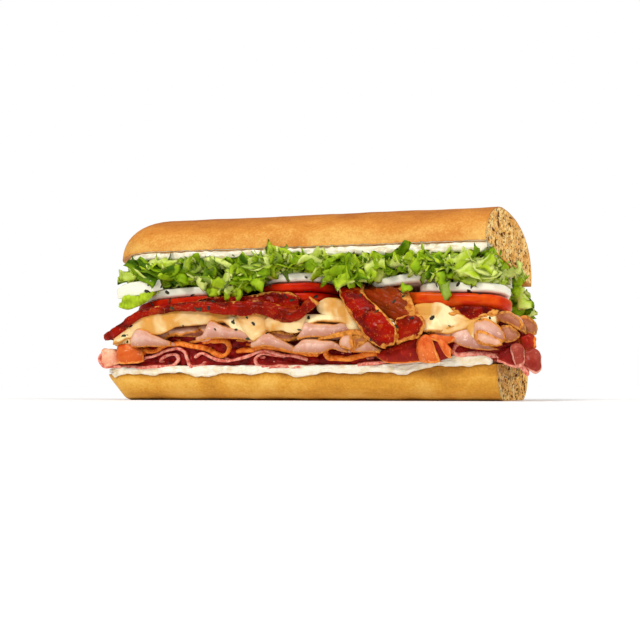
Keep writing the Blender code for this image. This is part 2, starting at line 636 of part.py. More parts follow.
def crosses(points, faces, trees):
    """Whether a shred touches or nearly touches one of the other pieces."""
    own = BVHTree.FromPolygons((points * MM).tolist(), [tuple(map(int, f)) for f in faces])
    for tree in trees:
        if own.overlap(tree):
            return True
        for p in points * MM:
            if tree.find_nearest(tuple(p))[3] < SHRED_CLEARANCE * MM:
                return True
    return False


def shredded_lettuce(others):
    """The heap: a pressed core with the loose shreds that show round its edges fused on."""
    rng = np.random.default_rng(SHRED_SEED)
    trees = [tree_of(o) for o in others]
    core = lettuce_core()
    shreds = bpy.data.collections.new("shreds")
    bpy.context.scene.collection.children.link(shreds)
    front, back = UPPER_EDGE_HEIGHTS
    kept = 0
    starts = []
    for x in np.linspace(-90, 95, 17):
        starts.append((x, -33.0, -1.0))
        if len(starts) % 2:
            starts.append((x + 2.0, 33.0, 1.0))
    for y in np.linspace(-24, 24, 3):
        starts += [(-89.0, y, 0.0), (95.0, y, 0.0)]
    for x, y, side in starts:
        for _ in range(14):
            roof = np.interp(y, (-HALF_WIDTH, HALF_WIDTH), (front, back)) - 6.5
            bed = float(bed_height(x, y)) + 1.2
            base = np.array([x + rng.uniform(-2, 2), y, rng.uniform(bed, max(bed + 0.4, roof - 0.8))])
            if side:
                heading = np.array([rng.uniform(-1.3, 1.3), side, rng.uniform(-0.8, 0.35)])
            else:
                heading = np.array([math.copysign(1.0, x), rng.uniform(-0.8, 0.8), rng.uniform(-0.7, 0.1)])
            length = rng.uniform(11, 19)
            middle = shred_grid(rng, base, heading, length, rng.uniform(3.0, 5.2), rng.uniform(-2.5, 2.5))
            points, faces = sheet_mesh(middle, 0.9)
            left, right, side_reach = SHRED_REACH
            far_right = (points[:, 0] + 0.2 * points[:, 1]).max()
            outside = points[:, 0].min() < left or far_right > right or abs(points[:, 1]).max() > side_reach
            if outside or crosses(points, faces, trees):
                continue
            shred = mesh_object(f"shred_{kept}", points, faces, "lettuce")
            bpy.context.scene.collection.objects.unlink(shred)
            shreds.objects.link(shred)
            kept += 1
            break
    for place_and_size in HANGING_SHREDS:
        points, faces = sheet_mesh(hanging_shred(*place_and_size), 0.9)
        if crosses(points, faces, trees):
            print("left out, because it touches a slice:", place_and_size)
            continue
        shred = mesh_object(f"hanging_{kept}", points, faces, "lettuce")
        bpy.context.scene.collection.objects.unlink(shred)
        shreds.objects.link(shred)
        kept += 1
    fuse(core, shreds)
    return core


def fuse(core, pieces):
    """Joins every object of a collection to the core, and keeps the one large body that results."""
    join = core.modifiers.new("join", "BOOLEAN")
    join.operand_type = "COLLECTION"
    join.collection = pieces
    join.operation = "UNION"
    join.solver = "MANIFOLD"
    graph = bpy.context.evaluated_depsgraph_get()
    joined = bpy.data.meshes.new_from_object(core.evaluated_get(graph))
    core.modifiers.clear()
    core.data = joined
    for piece in list(pieces.objects):
        bpy.data.objects.remove(piece)
    bpy.data.collections.remove(pieces)
    bm = bmesh.new()
    bm.from_mesh(joined)
    keep_largest(bm)
    bm.to_mesh(joined)
    bm.free()
    joined.name = core.name


def keep_largest(bm):
    """Drops loose scraps and sealed hollows: only the shell with the most faces stays."""
    seen, shells = set(), []
    for first in bm.faces:
        if first in seen:
            continue
        shell, ahead = [], [first]
        seen.add(first)
        while ahead:
            face = ahead.pop()
            shell.append(face)
            for edge in face.edges:
                for other in edge.link_faces:
                    if other not in seen:
                        seen.add(other)
                        ahead.append(other)
        shells.append(shell)
    shells.sort(key=len)
    for shell in shells[:-1]:
        bmesh.ops.delete(bm, geom=shell, context="FACES")
    loose = [v for v in bm.verts if not v.link_faces]
    bmesh.ops.delete(bm, geom=loose, context="VERTS")


def centre_on_origin(things):
    """Moves the whole sandwich so that the origin lies under the middle of its box, on the floor."""
    corners = np.array([v.co for o in things for v in o.data.vertices])
    middle = (corners.min(0) + corners.max(0)) / 2
    for thing in things:
        thing.data.transform(Matrix.Translation((-middle[0], -middle[1], -corners[:, 2].min())))


def main():
    clear_scene()
    things = [lower_half(), lower_spread()]
    things += [folded_slice(name) for name in FOLDED_SLICES]
    things += [draped_slice(name) for name in DRAPED_SLICES]
    things += [bacon_strip(name) for name in BACON_STRIPS]
    things += [front_strip(name) for name in FRONT_STRIPS]
    things.append(short_bacon())
    things += [oval_slice(name) for name in OVAL_SLICES]
    things += [upper_spread(), upper_half()]
    things.append(shredded_lettuce(things))
    centre_on_origin(things)


main()
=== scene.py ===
"""A submarine sandwich: half a long roll, cut at one end and filled from front to back with cold cuts.

Sizes are drawn in millimetres in the roll's own drawing: +X runs along the roll to its cut end, -Y is the
open front and +Z is up. Drawing.metres() moves them into the frame. Heights are those at the front of the
filling, and Drawing.place() sinks them towards the back, because the roll gapes at the front.
"""

from __future__ import annotations

import logging
import math
from dataclasses import dataclass, field
from enum import Enum

import bpy
import numpy as np
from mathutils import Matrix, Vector
from mathutils.bvhtree import BVHTree


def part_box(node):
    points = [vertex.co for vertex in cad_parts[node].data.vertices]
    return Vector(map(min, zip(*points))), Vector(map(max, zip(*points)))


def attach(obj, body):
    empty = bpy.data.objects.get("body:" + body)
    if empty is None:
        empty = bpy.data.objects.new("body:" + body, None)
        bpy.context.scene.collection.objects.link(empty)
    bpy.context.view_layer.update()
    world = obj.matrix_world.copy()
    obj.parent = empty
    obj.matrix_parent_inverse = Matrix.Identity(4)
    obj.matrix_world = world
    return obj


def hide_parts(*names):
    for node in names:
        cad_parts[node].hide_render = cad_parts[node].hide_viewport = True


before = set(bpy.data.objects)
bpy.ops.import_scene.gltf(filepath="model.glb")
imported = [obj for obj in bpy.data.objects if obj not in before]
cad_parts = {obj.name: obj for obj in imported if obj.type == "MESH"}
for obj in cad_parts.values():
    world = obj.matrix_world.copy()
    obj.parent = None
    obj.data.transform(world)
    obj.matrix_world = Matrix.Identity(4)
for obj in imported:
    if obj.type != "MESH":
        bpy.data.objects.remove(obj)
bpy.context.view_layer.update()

Array = np.ndarray
Point = tuple[float, ...]
Colour = str

MM = 0.001
LOG = logging.getLogger("sandwich")


def tone(code: Colour) -> Point:
    """Turns a colour written as six hexadecimal digits into linear light."""
    parts = [int(code[i : i + 2], 16) / 255 for i in (0, 2, 4)]
    return tuple(p / 12.92 if p <= 0.04045 else ((p + 0.055) / 1.055) ** 2.4 for p in parts)


def smoothstep(t: Array) -> Array:
    """A smooth ramp from 0 to 1: three t squared less two t cubed."""
    t = np.clip(t, 0.0, 1.0)
    return t * t * (3.0 - 2.0 * t)


def waves(x: Array, y: Array, length: float, seed: int, count: int = 9) -> Array:
    """Smooth random relief between about -1 and 1: the scaled sum of plane waves with random headings.

    Args:
        x: First coordinate.
        y: Second coordinate, broadcast against the first.
        length: Mean length of a wave, in the coordinates' unit.
        seed: Seed of the headings, lengths and phases.
        count: Number of waves.

    Returns:
        The relief at each point.
    """
    rng = np.random.default_rng(seed)
    total = np.zeros(np.broadcast(x, y).shape)
    for heading, stretch, phase in rng.uniform((0, 0.6, 0), (math.tau, 1.7, math.tau), (count, 3)):
        run = np.asarray(x) * math.cos(heading) + np.asarray(y) * math.sin(heading)
        total = total + np.sin(math.tau * run / (length * stretch) + phase)
    return total / math.sqrt(count) * 0.9


def smooth_line(points: Array, count: int) -> Array:
    """Equally spaced points on the Catmull-Rom curve through the given ones.

    Args:
        points: The points to pass through, one in each row.
        count: Number of points wanted.

    Returns:
        The points, one in each row.
    """
    p = np.array(points, float)
    p = np.vstack([2 * p[0] - p[1], p, 2 * p[-1] - p[-2]])
    t = np.linspace(0, 1, 24, endpoint=False)[:, None, None]
    a, b, c, d = p[None, :-3], p[None, 1:-2], p[None, 2:-1], p[None, 3:]
    spans = 0.5 * (2 * b + (c - a) * t + (2 * a - 5 * b + 4 * c - d) * t**2 + (3 * b - a - 3 * c + d) * t**3)
    curve = np.vstack([spans.transpose(1, 0, 2).reshape(-1, p.shape[1]), p[-2:-1]])
    run = np.concatenate([[0], np.cumsum(np.linalg.norm(np.diff(curve, axis=0), axis=1))])
    at = np.linspace(0, run[-1], count)
    return np.stack([np.interp(at, run, curve[:, k]) for k in range(curve.shape[1])], axis=1)


def smooth_rows(points: Array, at: Array) -> Array:
    """Catmull-Rom curves through every row's points at once.

    Args:
        points: Rows of points, shaped (rows, points, coordinates).
        at: Where to read each row, from 0 at its first point to 1 at its last.

    Returns:
        The finer rows, shaped (rows, places, coordinates).
    """
    first, last = 2 * points[:, :1] - points[:, 1:2], 2 * points[:, -1:] - points[:, -2:-1]
    p = np.concatenate([first, points, last], axis=1)
    at = np.asarray(at) * (points.shape[1] - 1)
    span = np.minimum(at.astype(int), points.shape[1] - 2)
    t = (at - span)[None, :, None]
    a, b, c, d = p[:, span], p[:, span + 1], p[:, span + 2], p[:, span + 3]
    return 0.5 * (2 * b + (c - a) * t + (2 * a - 5 * b + 4 * c - d) * t**2 + (3 * b - a - 3 * c + d) * t**3)


def even_values(values: tuple[float, ...], t: Array) -> Array:
    """Values given at even steps from 0 to 1, read smoothly at t."""
    fine = smooth_line(np.stack([np.linspace(0, 1, len(values)), values], axis=1), 160)
    return np.interp(t, fine[:, 0], fine[:, 1])


def stations(length: float, step: float, rim: float) -> Array:
    """Distances from 0 to a length, close together within the rim at both ends.

    Args:
        length: The last distance.
        step: About how far apart those between the rims lie.
        rim: Width of the strip at each end where they lie closer.

    Returns:
        The distances, rising.
    """
    near = rim * np.array([0.0, 0.06, 0.2, 0.42, 0.7])
    inner = np.linspace(rim, length - rim, max(2, round((length - 2 * rim) / step) + 1))
    return np.concatenate([near, inner, length - near[::-1]])


@dataclass(frozen=True)
class Drawing:
    """The sandwich's drawing: how the filling lies between the halves, and where it stands in the frame."""

    shift_x: float
    shift_y: float
    half_width: float = 37.0
    lower_cut: float = 13.5
    lower_rise: float = 3.5
    spread_floor: float = 3.6
    back_squeeze: float = 0.68
    end_slant: float = 0.10
    droop_start: float = -76.0
    droop_reach: float = 20.0
    droop_depth: float = 13.0
    lower_left_end: float = -104.5
    upper_left_end: float = -99.5
    upper_edges: tuple[float, float] = (73.0, 56.5)
    focus: float = 1420.0
    distance: float = 710.0
    middle_column: float = 318.0
    foot_row: float = 400.0
    view_sine: float = 0.342
    view_cosine: float = 0.94

    @classmethod
    def from_frame(cls) -> Drawing:
        """Finds the drawing's place from the lower half's box in the frame.

        Returns:
            The drawing, with its shift set.
        """
        low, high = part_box("bread_bottom")
        drawn_left = -104.45
        return cls(shift_x=low[0] / MM - drawn_left, shift_y=(low[1] + high[1]) / 2 / MM)

    def metres(self, points: Array) -> Array:
        """Drawn millimetres as metres in the frame."""
        return (np.asarray(points) + (self.shift_x, self.shift_y, 0.0)) * MM

    def lower_cut_height(self, x: Array) -> Array:
        """Height of the lower half's cut face, which rises smoothly towards the cut end."""
        return self.lower_cut + self.lower_rise * smoothstep((np.asarray(x, float) - 35.0) / 55.0)

    def settle(self, x: Array, y: Array, z: Array) -> Array:
        """Height at depth y of what lies at height z at the front: its share above the floor shrinks.

        Args:
            x: Place along the roll.
            y: Depth.
            z: Height at the front.

        Returns:
            Height at that depth.
        """
        share = (np.asarray(y, float) + self.half_width) / (2 * self.half_width)
        squeeze = 1.0 - (1.0 - self.back_squeeze) * np.clip(share, -0.1, 1.1)
        floor = self.lower_cut_height(x) + self.spread_floor
        return floor + (z - floor) * squeeze

    def place(self, x: Array, y: Array, z: Array) -> Array:
        """Points of the filling: sunk towards the back, and set in there at the cut end.

        Args:
            x: Places along the roll.
            y: Depths.
            z: Heights at the front.

        Returns:
            The points, one triple each.
        """
        x, y, z = np.broadcast_arrays(np.asarray(x, float), y, z)
        slant = self.end_slant * (smoothstep((x - 55.0) / 50.0) + 1.2 * smoothstep((x - 98.0) / 14.0))
        inset = slant * (y + self.half_width)
        return np.stack([x - inset, y, self.settle(x, y, z)], axis=-1)

    def droop(self, x: Array) -> Array:
        """How far the upper layers sink where they run out past the closed end."""
        share = np.clip((self.droop_start - np.asarray(x, float)) / self.droop_reach, 0.0, 1.2)
        return self.droop_depth * share**1.3

    def seen(self, column: Array, row: Array, y: Array) -> Array:
        """The point at depth y that the camera shows at a column and a row of its 640 by 640 view.

        A view line goes (column - middle) / focus across and (foot - row) / focus up for each millimetre of
        depth. The depth is the distance less the sine's share of x, plus the cosine's share of y.

        Args:
            column: Columns, counted from the left.
            row: Rows, counted from the top.
            y: Depths in the drawing.

        Returns:
            The points in drawn millimetres.
        """
        column, row, y = np.broadcast_arrays(np.asarray(column, float), row, y)
        across = (column - self.middle_column) / self.focus
        level = across * (self.distance + self.view_cosine * y) - self.view_sine * y
        x = level / (self.view_cosine + self.view_sine * across)
        depth = self.distance - self.view_sine * x + self.view_cosine * y
        return np.stack([x, y, (self.foot_row - row) / self.focus * depth], axis=-1)

    def gape(self) -> tuple[float, float]:
        """The upper half's tilt in radians, and the height of the middle of its cut face."""
        front, back = self.upper_edges
        return math.atan2(front - back, 2 * self.half_width), (front + back) / 2


@dataclass
class Skin:
    """A closed surface: its points in drawn millimetres, its faces, and values carried by its points."""

    points: Array
    faces: list[Array]
    values: dict[str, Array]

    def outward(self) -> Skin:
        """The same surface with its faces turned outwards, by the sign of the volume that they enclose.

        Returns:
            The surface itself.
        """
        volume = 0.0
        for faces in self.faces:
            a = self.points[faces[:, 0]]
            for k in range(1, faces.shape[1] - 1):
                b, c = self.points[faces[:, k]], self.points[faces[:, k + 1]]
                volume += (a * np.cross(b, c)).sum()
        if volume < 0:
            self.faces = [f[:, ::-1] for f in self.faces]
        return self


def join(skins: list[Skin]) -> Skin:
    """One surface of several that carry the same values.

    Args:
        skins: The surfaces.

    Returns:
        One surface of them all.
    """
    starts = np.cumsum([0] + [len(s.points) for s in skins[:-1]])
    faces = [f + start for s, start in zip(skins, starts) for f in s.faces]
    values = {k: np.concatenate([s.values[k] for s in skins]) for k in skins[0].values}
    return Skin(np.concatenate([s.points for s in skins]), faces, values)


def quads(index: Array, around: bool = False) -> Array:
    """Faces of a grid of point numbers, joined up across the last column where it goes around.

    Args:
        index: Grid of point numbers.
        around: Whether its last column meets its first.

    Returns:
        The faces, four point numbers in each row.
    """
    if around:
        index = np.concatenate([index, index[:, :1]], axis=1)
    a, b, c, d = index[:-1, :-1], index[1:, :-1], index[1:, 1:], index[:-1, 1:]
    return np.stack([a, b, c, d], axis=-1).reshape(-1, 4)


def unit(directions: Array) -> Array:
    """Directions, one in each row, made one long."""
    return directions / np.linalg.norm(directions, axis=1, keepdims=True)


def grid_normals(grid: Array) -> Array:
    """Unit normals of a grid of points: the cross product of its two directions."""
    cross = np.cross(np.gradient(grid, axis=-3), np.gradient(grid, axis=-2))
    return cross / np.maximum(np.linalg.norm(cross, axis=-1, keepdims=True), 1e-9)


def run_across(grid: Array) -> Array:
    """Each grid point's distance from its row's first point, along the row."""
    return np.cumsum(np.linalg.norm(np.diff(grid, axis=1, prepend=grid[:, :1]), axis=-1), axis=1)


def closed_sheet(middle: Array, half: Array, values: dict[str, Array], normal: Array | None = None) -> Skin:
    """A thin closed body: two skins half a thickness from the middle, which meet along its border.

    Args:
        middle: Grid of middle points, shaped (rows, columns, 3).
        half: Half the thickness at each grid point, which is nothing at the border.
        values: Values at the grid points, carried by both skins.
        normal: Which way the skins part, if not along the sheet's own normals.

    Returns:
        The closed surface.
    """
    rows, columns = middle.shape[:2]
    offset = (grid_normals(middle) if normal is None else normal) * half[..., None]
    upper = np.arange(rows * columns).reshape(rows, columns)
    inner = np.arange((rows - 2) * (columns - 2)).reshape(rows - 2, columns - 2) + rows * columns
    lower = upper.copy()
    lower[1:-1, 1:-1] = inner
    points = np.concatenate([(middle + offset).reshape(-1, 3), (middle - offset)[1:-1, 1:-1].reshape(-1, 3)])
    carried = {k: np.concatenate([v.ravel(), v[1:-1, 1:-1].ravel()]) for k, v in values.items()}
    return Skin(points, [quads(upper), quads(lower)[:, ::-1]], carried).outward()


def rounded(distance: Array, thickness: Array) -> Array:
    """Half a thickness that falls to nothing at an edge along a quarter circle."""
    share = np.clip(1 - distance / (np.asarray(thickness) / 2), 0, 1)
    return np.asarray(thickness) / 2 * np.sqrt(np.maximum(1 - share**2, 0))


def loft(sections: Array, values: dict[str, Array]) -> Skin:
    """A closed body through closed sections, with a face across each end.

    Args:
        sections: Sections of equally many points, shaped (sections, points, 3).
        values: Values at those points.

    Returns:
        The closed surface.
    """
    count, around = sections.shape[:2]
    index = np.arange(count * around).reshape(count, around)
    faces = [quads(index, around=True), index[:1, ::-1], index[-1:]]
    return Skin(sections.reshape(-1, 3), faces, {k: v.ravel() for k, v in values.items()}).outward()


class Paint:
    """Writes the nodes of one material. Colours are written as six hexadecimal digits."""

    def __init__(self, name: str) -> None:
        """Starts a material with one shader.

        Args:
            name: The material's name.
        """
        self.material = bpy.data.materials.new(name)
        self.material.use_nodes = True
        self.tree = self.material.node_tree
        self.shader = self.tree.nodes["Principled BSDF"]
        self.where = self.node("TexCoord").outputs["Object"]

    def put(self, value: object, socket: object) -> None:
        """Joins an output to an input, or sets the input to a colour or a plain value.

        Args:
            value: A number, a colour or an output.
            socket: The input that takes it.
        """
        if isinstance(value, bpy.types.NodeSocket):
            self.tree.links.new(value, socket)
        elif isinstance(value, str):
            socket.default_value = (*tone(value), 1.0)
        else:
            socket.default_value = value

    def fill(self, node: object, **values: object) -> None:
        """Fills a node's named inputs; an underscore stands for a space."""
        for name, value in values.items():
            self.put(value, node.inputs[name.replace("_", " ")])

    def set(self, **values: object) -> None:
        """Fills the shader's own inputs."""
        self.fill(self.shader, **values)

    def node(self, kind: str, **values: object) -> bpy.types.Node:
        """A new node of a kind with its inputs filled.

        Args:
            kind: The node's type, without its common beginning.
            values: What its named inputs get.

        Returns:
            The node.
        """
        node = self.tree.nodes.new("ShaderNode" + kind)
        self.fill(node, **values)
        return node

    def value(self, name: str) -> object:
        """A value carried by the mesh's points.

        Args:
            name: The value's name.

        Returns:
            The output that reads it.
        """
        node = self.node("Attribute")
        node.attribute_name = name
        return node.outputs["Fac"]

    def noise(self, size: float, detail: float = 3, stretch: Point = (1, 1, 1), warp: float = 0) -> object:
        """Noise with features about a size in millimetres, shorter along an axis with a larger stretch.

        Args:
            size: Size of a feature in millimetres.
            detail: How many finer layers it has.
            stretch: How much closer its features lie along each axis.
            warp: How much it is distorted.

        Returns:
            The noise from 0 to 1.
        """
        place = self.node("Mapping", Vector=self.where, Scale=stretch).outputs["Vector"]
        node = self.node("TexNoise", Vector=place, Scale=1.0 / (size * MM), Detail=detail, Distortion=warp)
        return node.outputs["Fac"]

    def cells(self, size: float) -> object:
        """Distance to the nearest of scattered points about a size in millimetres apart."""
        return self.node("TexVoronoi", Vector=self.where, Scale=1.0 / (size * MM)).outputs["Distance"]

    def ramp(self, factor: object, *stops: tuple[float, Colour]) -> object:
        """Colours at places along a factor, blended between them.

        Args:
            factor: The number that picks the colour.
            stops: Pairs of a place and a colour.

        Returns:
            The colour.
        """
        node = self.node("ValToRGB", Fac=factor)
        elements = node.color_ramp.elements
        while len(elements) < len(stops):
            elements.new(0.5)
        for element, (at, colour) in zip(elements, stops):
            element.position = at
            element.color = (*tone(colour), 1.0)
        return node.outputs["Color"]

    def span(self, factor: object, low: float, high: float) -> object:
        """A factor spread so that it runs from 0 at the low value to 1 at the high one.

        Args:
            factor: The factor.
            low: Where it starts to rise.
            high: Where it is full.

        Returns:
            The spread factor.
        """
        node = self.node("MapRange", Value=factor, From_Min=low, From_Max=high)
        node.interpolation_type = "SMOOTHSTEP"
        return node.outputs["Result"]

    def blend(self, factor: object, first: object, second: object) -> object:
        """Two colours blended by a factor.

        Args:
            factor: Share of the second.
            first: A colour or an output.
            second: A colour or an output.

        Returns:
            The blended colour.
        """
        node = self.node("Mix")
        node.data_type = "RGBA"
        for place, value in ((0, factor), (6, first), (7, second)):
            self.put(value, node.inputs[place])
        return node.outputs[2]

    def sum(self, first: object, second: object, operation: str = "ADD") -> object:
        """Two numbers put together.

        Args:
            first: A number or an output.
            second: A number or an output.
            operation: How.

        Returns:
            The result.
        """
        node = self.node("Math")
        node.operation = operation
        self.put(first, node.inputs[0])
        self.put(second, node.inputs[1])
        return node.outputs[0]

    def times(self, first: object, second: float) -> object:
        """A number scaled."""
        return self.sum(first, second, "MULTIPLY")

    def bump(self, height: object, depth: float) -> None:
        """Raises the surface by a height of up to a depth in millimetres.

        Args:
            height: The height from 0 to 1.
            depth: Millimetres at 1.
        """
        node = self.node("Bump", Distance=depth * MM, Height=height)
        before = self.shader.inputs["Normal"]
        if before.is_linked:
            self.put(before.links[0].from_socket, node.inputs["Normal"])
        self.set(Normal=node.outputs["Normal"])

    def soft(self, weight: float, radius: Point, scale: float) -> None:
        """Lets light into the surface: radius is each colour's reach and scale is in millimetres."""
        self.set(Subsurface_Weight=weight, Subsurface_Radius=radius, Subsurface_Scale=scale * MM)


@dataclass(frozen=True)
class Roll:
    """Baked crust with a porous crumb on the cut end."""

    name: str
    pale: Colour
    golden: Colour
    brown: Colour
    crumb: Colour = "F6B44C"
    crumb_light: Colour = "FFE29C"
    toast: Colour = "DC9438"
    pore: Colour = "6E3806"

    def make(self) -> bpy.types.Material:
        """The material: the crust darkens where it is baked more and where painted shade lies along the lower
        half's foot, and crumb swaps it for the cut face with its pores.

        Returns:
            The material.
        """
        p = Paint(self.name)
        patches = p.times(p.noise(16, 4, (0.5, 1, 1), 0.4), 0.75)
        grain = p.times(p.noise(1.0, 4), 0.34)
        spots = p.times(p.noise(3.2, 3, (0.7, 1, 1), 0.8), 0.22)
        bake = p.sum(p.value("bake"), p.sum(p.sum(patches, spots), grain))
        crust = p.ramp(bake, (0.48, self.pale), (0.72, self.golden), (1.0, self.brown))
        meal = p.ramp(p.noise(1.5, 4, (1, 1, 0.7), 0.4), (0.40, self.crumb), (0.60, self.crumb_light))
        meal = p.blend(p.times(p.span(p.noise(7, 2), 0.42, 0.60), 0.6), meal, self.toast)
        # The dark specks and the hollows of the cut bubbles take the pore colour: painted shade in the
        # crumb's holes.
        speck = p.span(p.noise(1.0, 3, (1, 1, 0.8), 0.9), 0.545, 0.60)
        meal = p.blend(p.times(speck, 0.85), meal, self.pore)
        meal = p.blend(p.span(p.value("pore"), 0.10, 0.60), meal, self.pore)
        p.set(Base_Color=p.blend(p.value("crumb"), crust, meal), Roughness=0.5, Specular_IOR_Level=0.12)
        p.bump(p.noise(0.9, 4), 0.12)
        p.bump(p.noise(5, 3), 0.25)
        p.soft(0.06, (1.0, 0.5, 0.2), 1.0)
        return p.material


@dataclass(frozen=True)
class Cream:
    """A thick creamy spread."""

    body: Colour = "F5EEDA"
    shade: Colour = "E4D4AE"

    def make(self) -> bpy.types.Material:
        """The material: near white, with yellower patches of painted shade at random places, and wet.

        Returns:
            The material.
        """
        p = Paint("cream")
        p.set(Base_Color=p.ramp(p.noise(4, 3), (0.36, self.shade), (0.56, self.body)))
        p.set(Roughness=0.28, Specular_IOR_Level=0.35, Coat_Weight=0.15, Coat_Roughness=0.12)
        p.bump(p.noise(3.4, 2), 0.10)
        p.soft(0.25, (1.0, 0.8, 0.5), 1.4)
        return p.material


@dataclass(frozen=True)
class Meat:
    """A thin cold cut: its face, the veins in it, and the rim that its edge shows."""

    name: str
    face: Colour
    deep: Colour
    vein: Colour
    rim: Colour
    rim_deep: Colour
    rim_width: float
    let_in: float
    gloss: float = 0.34
    warmth: float = 0.15
    blush: Colour = "8A1A10"

    def make(self) -> bpy.types.Material:
        """The material: mottled face with painted shade where the mesh's value says, scattered veins, and an
        uneven rim about rim_width wide.

        Returns:
            The material.
        """
        p = Paint(self.name)
        face = p.ramp(p.noise(5, 4, warp=0.5), (0.36, self.deep), (0.60, self.face))
        # Painted shade: the face turns towards a darker colour where the mesh's value says, across a petal
        # from its top edge.
        face = p.blend(p.value("blush"), face, self.blush)
        face = p.blend(p.times(p.span(p.noise(1.7, 3, warp=0.9), 0.60, 0.70), 0.6), face, self.vein)
        rim = p.ramp(p.noise(1.6, 4, warp=0.6), (0.38, self.rim_deep), (0.58, self.rim))
        wander = p.sum(p.value("edge"), p.times(p.noise(3.0, 3), -1.6))
        warm = p.times(p.span(wander, self.rim_width + 2.6, self.rim_width - 0.6), self.warmth)
        face = p.blend(warm, face, self.rim_deep)
        inside = p.span(wander, self.rim_width - 1.15, self.rim_width - 0.45)
        p.set(Base_Color=p.blend(inside, rim, face), Roughness=self.gloss, Specular_IOR_Level=0.12)
        p.bump(p.noise(1.1, 3), 0.12)
        p.soft(self.let_in, (1.0, 0.35, 0.15), 1.0)
        return p.material


@dataclass(frozen=True)
class Cheese:
    """Soft sliced cheese."""

    body: Colour = "F9E6B0"
    shade: Colour = "DDA04A"
    rim: Colour = "CF8E38"
    # Colour of the amber painted shade.
    amber: Colour = "D8953A"

    def make(self) -> bpy.types.Material:
        """The material: cream, more golden in places and at its thin edge, with amber painted shade under
        what lies over it, and a waxy surface.

        Returns:
            The material.
        """
        p = Paint("cheese")
        body = p.ramp(p.noise(13, 3, warp=0.5), (0.40, self.shade), (0.58, self.body))
        inside = p.span(p.sum(p.value("edge"), p.times(p.noise(4, 2), -1.2)), -0.5, 0.6)
        # Amber painted shade where the mesh's value says so: strongest along the upper edge of the cheese
        # faces, under the bacon.
        body = p.blend(p.value("singed"), body, self.amber)
        p.set(Base_Color=p.blend(inside, self.rim, body), Roughness=0.36, Specular_IOR_Level=0.2)
        p.bump(p.noise(3, 2), 0.15)
        p.soft(0.22, (1.0, 0.6, 0.2), 1.6)
        return p.material


@dataclass(frozen=True)
class Bacon:
    """Fried bacon: deep red lean, and amber fat where the mesh says so."""

    lean: Colour = "9A1002"
    lean_dark: Colour = "520401"
    singed: Colour = "84380A"
    streak: Colour = "CC5C1E"
    speck: Colour = "DC8040"
    fat: Colour = "B05C14"
    fat_pale: Colour = "E09C48"

    def make(self) -> bpy.types.Material:
        """The material: the fat value with a ragged border, brown where the value says the strip is browned
        in frying, and painted highlights as lighter streaks and specks.

        Returns:
            The material.
        """
        p = Paint("bacon")
        lean = p.ramp(p.noise(6.5, 3, (0.6, 1, 1), 0.5), (0.36, self.lean_dark), (0.58, self.lean))
        # Lighter orange streaks along the strip: painted highlights.
        highlight_streaks = p.times(p.span(p.noise(2.6, 3, (0.4, 1, 1), 0.5), 0.56, 0.70), 0.32)
        lean = p.blend(highlight_streaks, lean, self.streak)
        lean = p.blend(p.value("singed"), lean, self.singed)
        # Small pale specks: painted glints.
        lean = p.blend(p.times(p.span(p.noise(0.8, 2), 0.63, 0.70), 0.4), lean, self.speck)
        fat = p.ramp(p.noise(2.0, 4, warp=0.6), (0.36, self.fat), (0.62, self.fat_pale))
        ragged = p.sum(p.value("fat"), p.times(p.noise(2.6, 4), 0.9))
        colour = p.blend(p.span(ragged, 0.86, 1.02), lean, fat)
        p.set(Base_Color=colour, Roughness=0.2, Specular_IOR_Level=0.07)
        p.bump(p.noise(1.2, 3), 0.12)
        p.bump(p.noise(5.0, 2, warp=0.5), 0.35)
        p.soft(0.08, (1.0, 0.3, 0.1), 0.8)
        return p.material


@dataclass(frozen=True)
class Tomato:
    """A fresh tomato slice with its skin round the rim."""

    name: str = "tomato"
    skin: Colour = "D62C04"
    skin_deep: Colour = "B40C00"
    flesh: Colour = "C42A0C"
    seed: Colour = "E08A3A"

    def make(self) -> bpy.types.Material:
        """The material: skin on the rim, flesh with paler seed hollows on the faces, all wet.

        Returns:
            The material.
        """
        p = Paint(self.name)
        skin = p.ramp(p.noise(12, 3, (1, 1, 2.5)), (0.40, self.skin_deep), (0.58, self.skin))
        flesh = p.ramp(p.cells(5), (0.1, self.seed), (0.35, self.flesh))
        p.set(Base_Color=p.blend(p.value("skin"), flesh, skin), Roughness=0.18, Specular_IOR_Level=0.09)
        p.bump(p.noise(2.5, 2), 0.10)
        p.soft(0.1, (1.0, 0.2, 0.05), 1.2)
        return p.material


@dataclass(frozen=True)
class Onion:
    """A translucent white onion slice."""

    body: Colour = "F6F3DE"
    shade: Colour = "DCD9B2"

    def make(self) -> bpy.types.Material:
        """The material: white with faint greenish lines along its rings.

        Returns:
            The material.
        """
        p = Paint("onion")
        ring = p.sum(p.value("ring"), p.times(p.noise(6, 2), 0.5))
        colour = p.ramp(ring, (0.25, self.shade), (0.75, self.body))
        p.set(Base_Color=colour, Roughness=0.22, Specular_IOR_Level=0.3)
        p.bump(p.noise(1.5, 2, (0.3, 0.3, 1.4)), 0.10)
        p.soft(0.15, (1.0, 1.0, 0.8), 1.5)
        return p.material


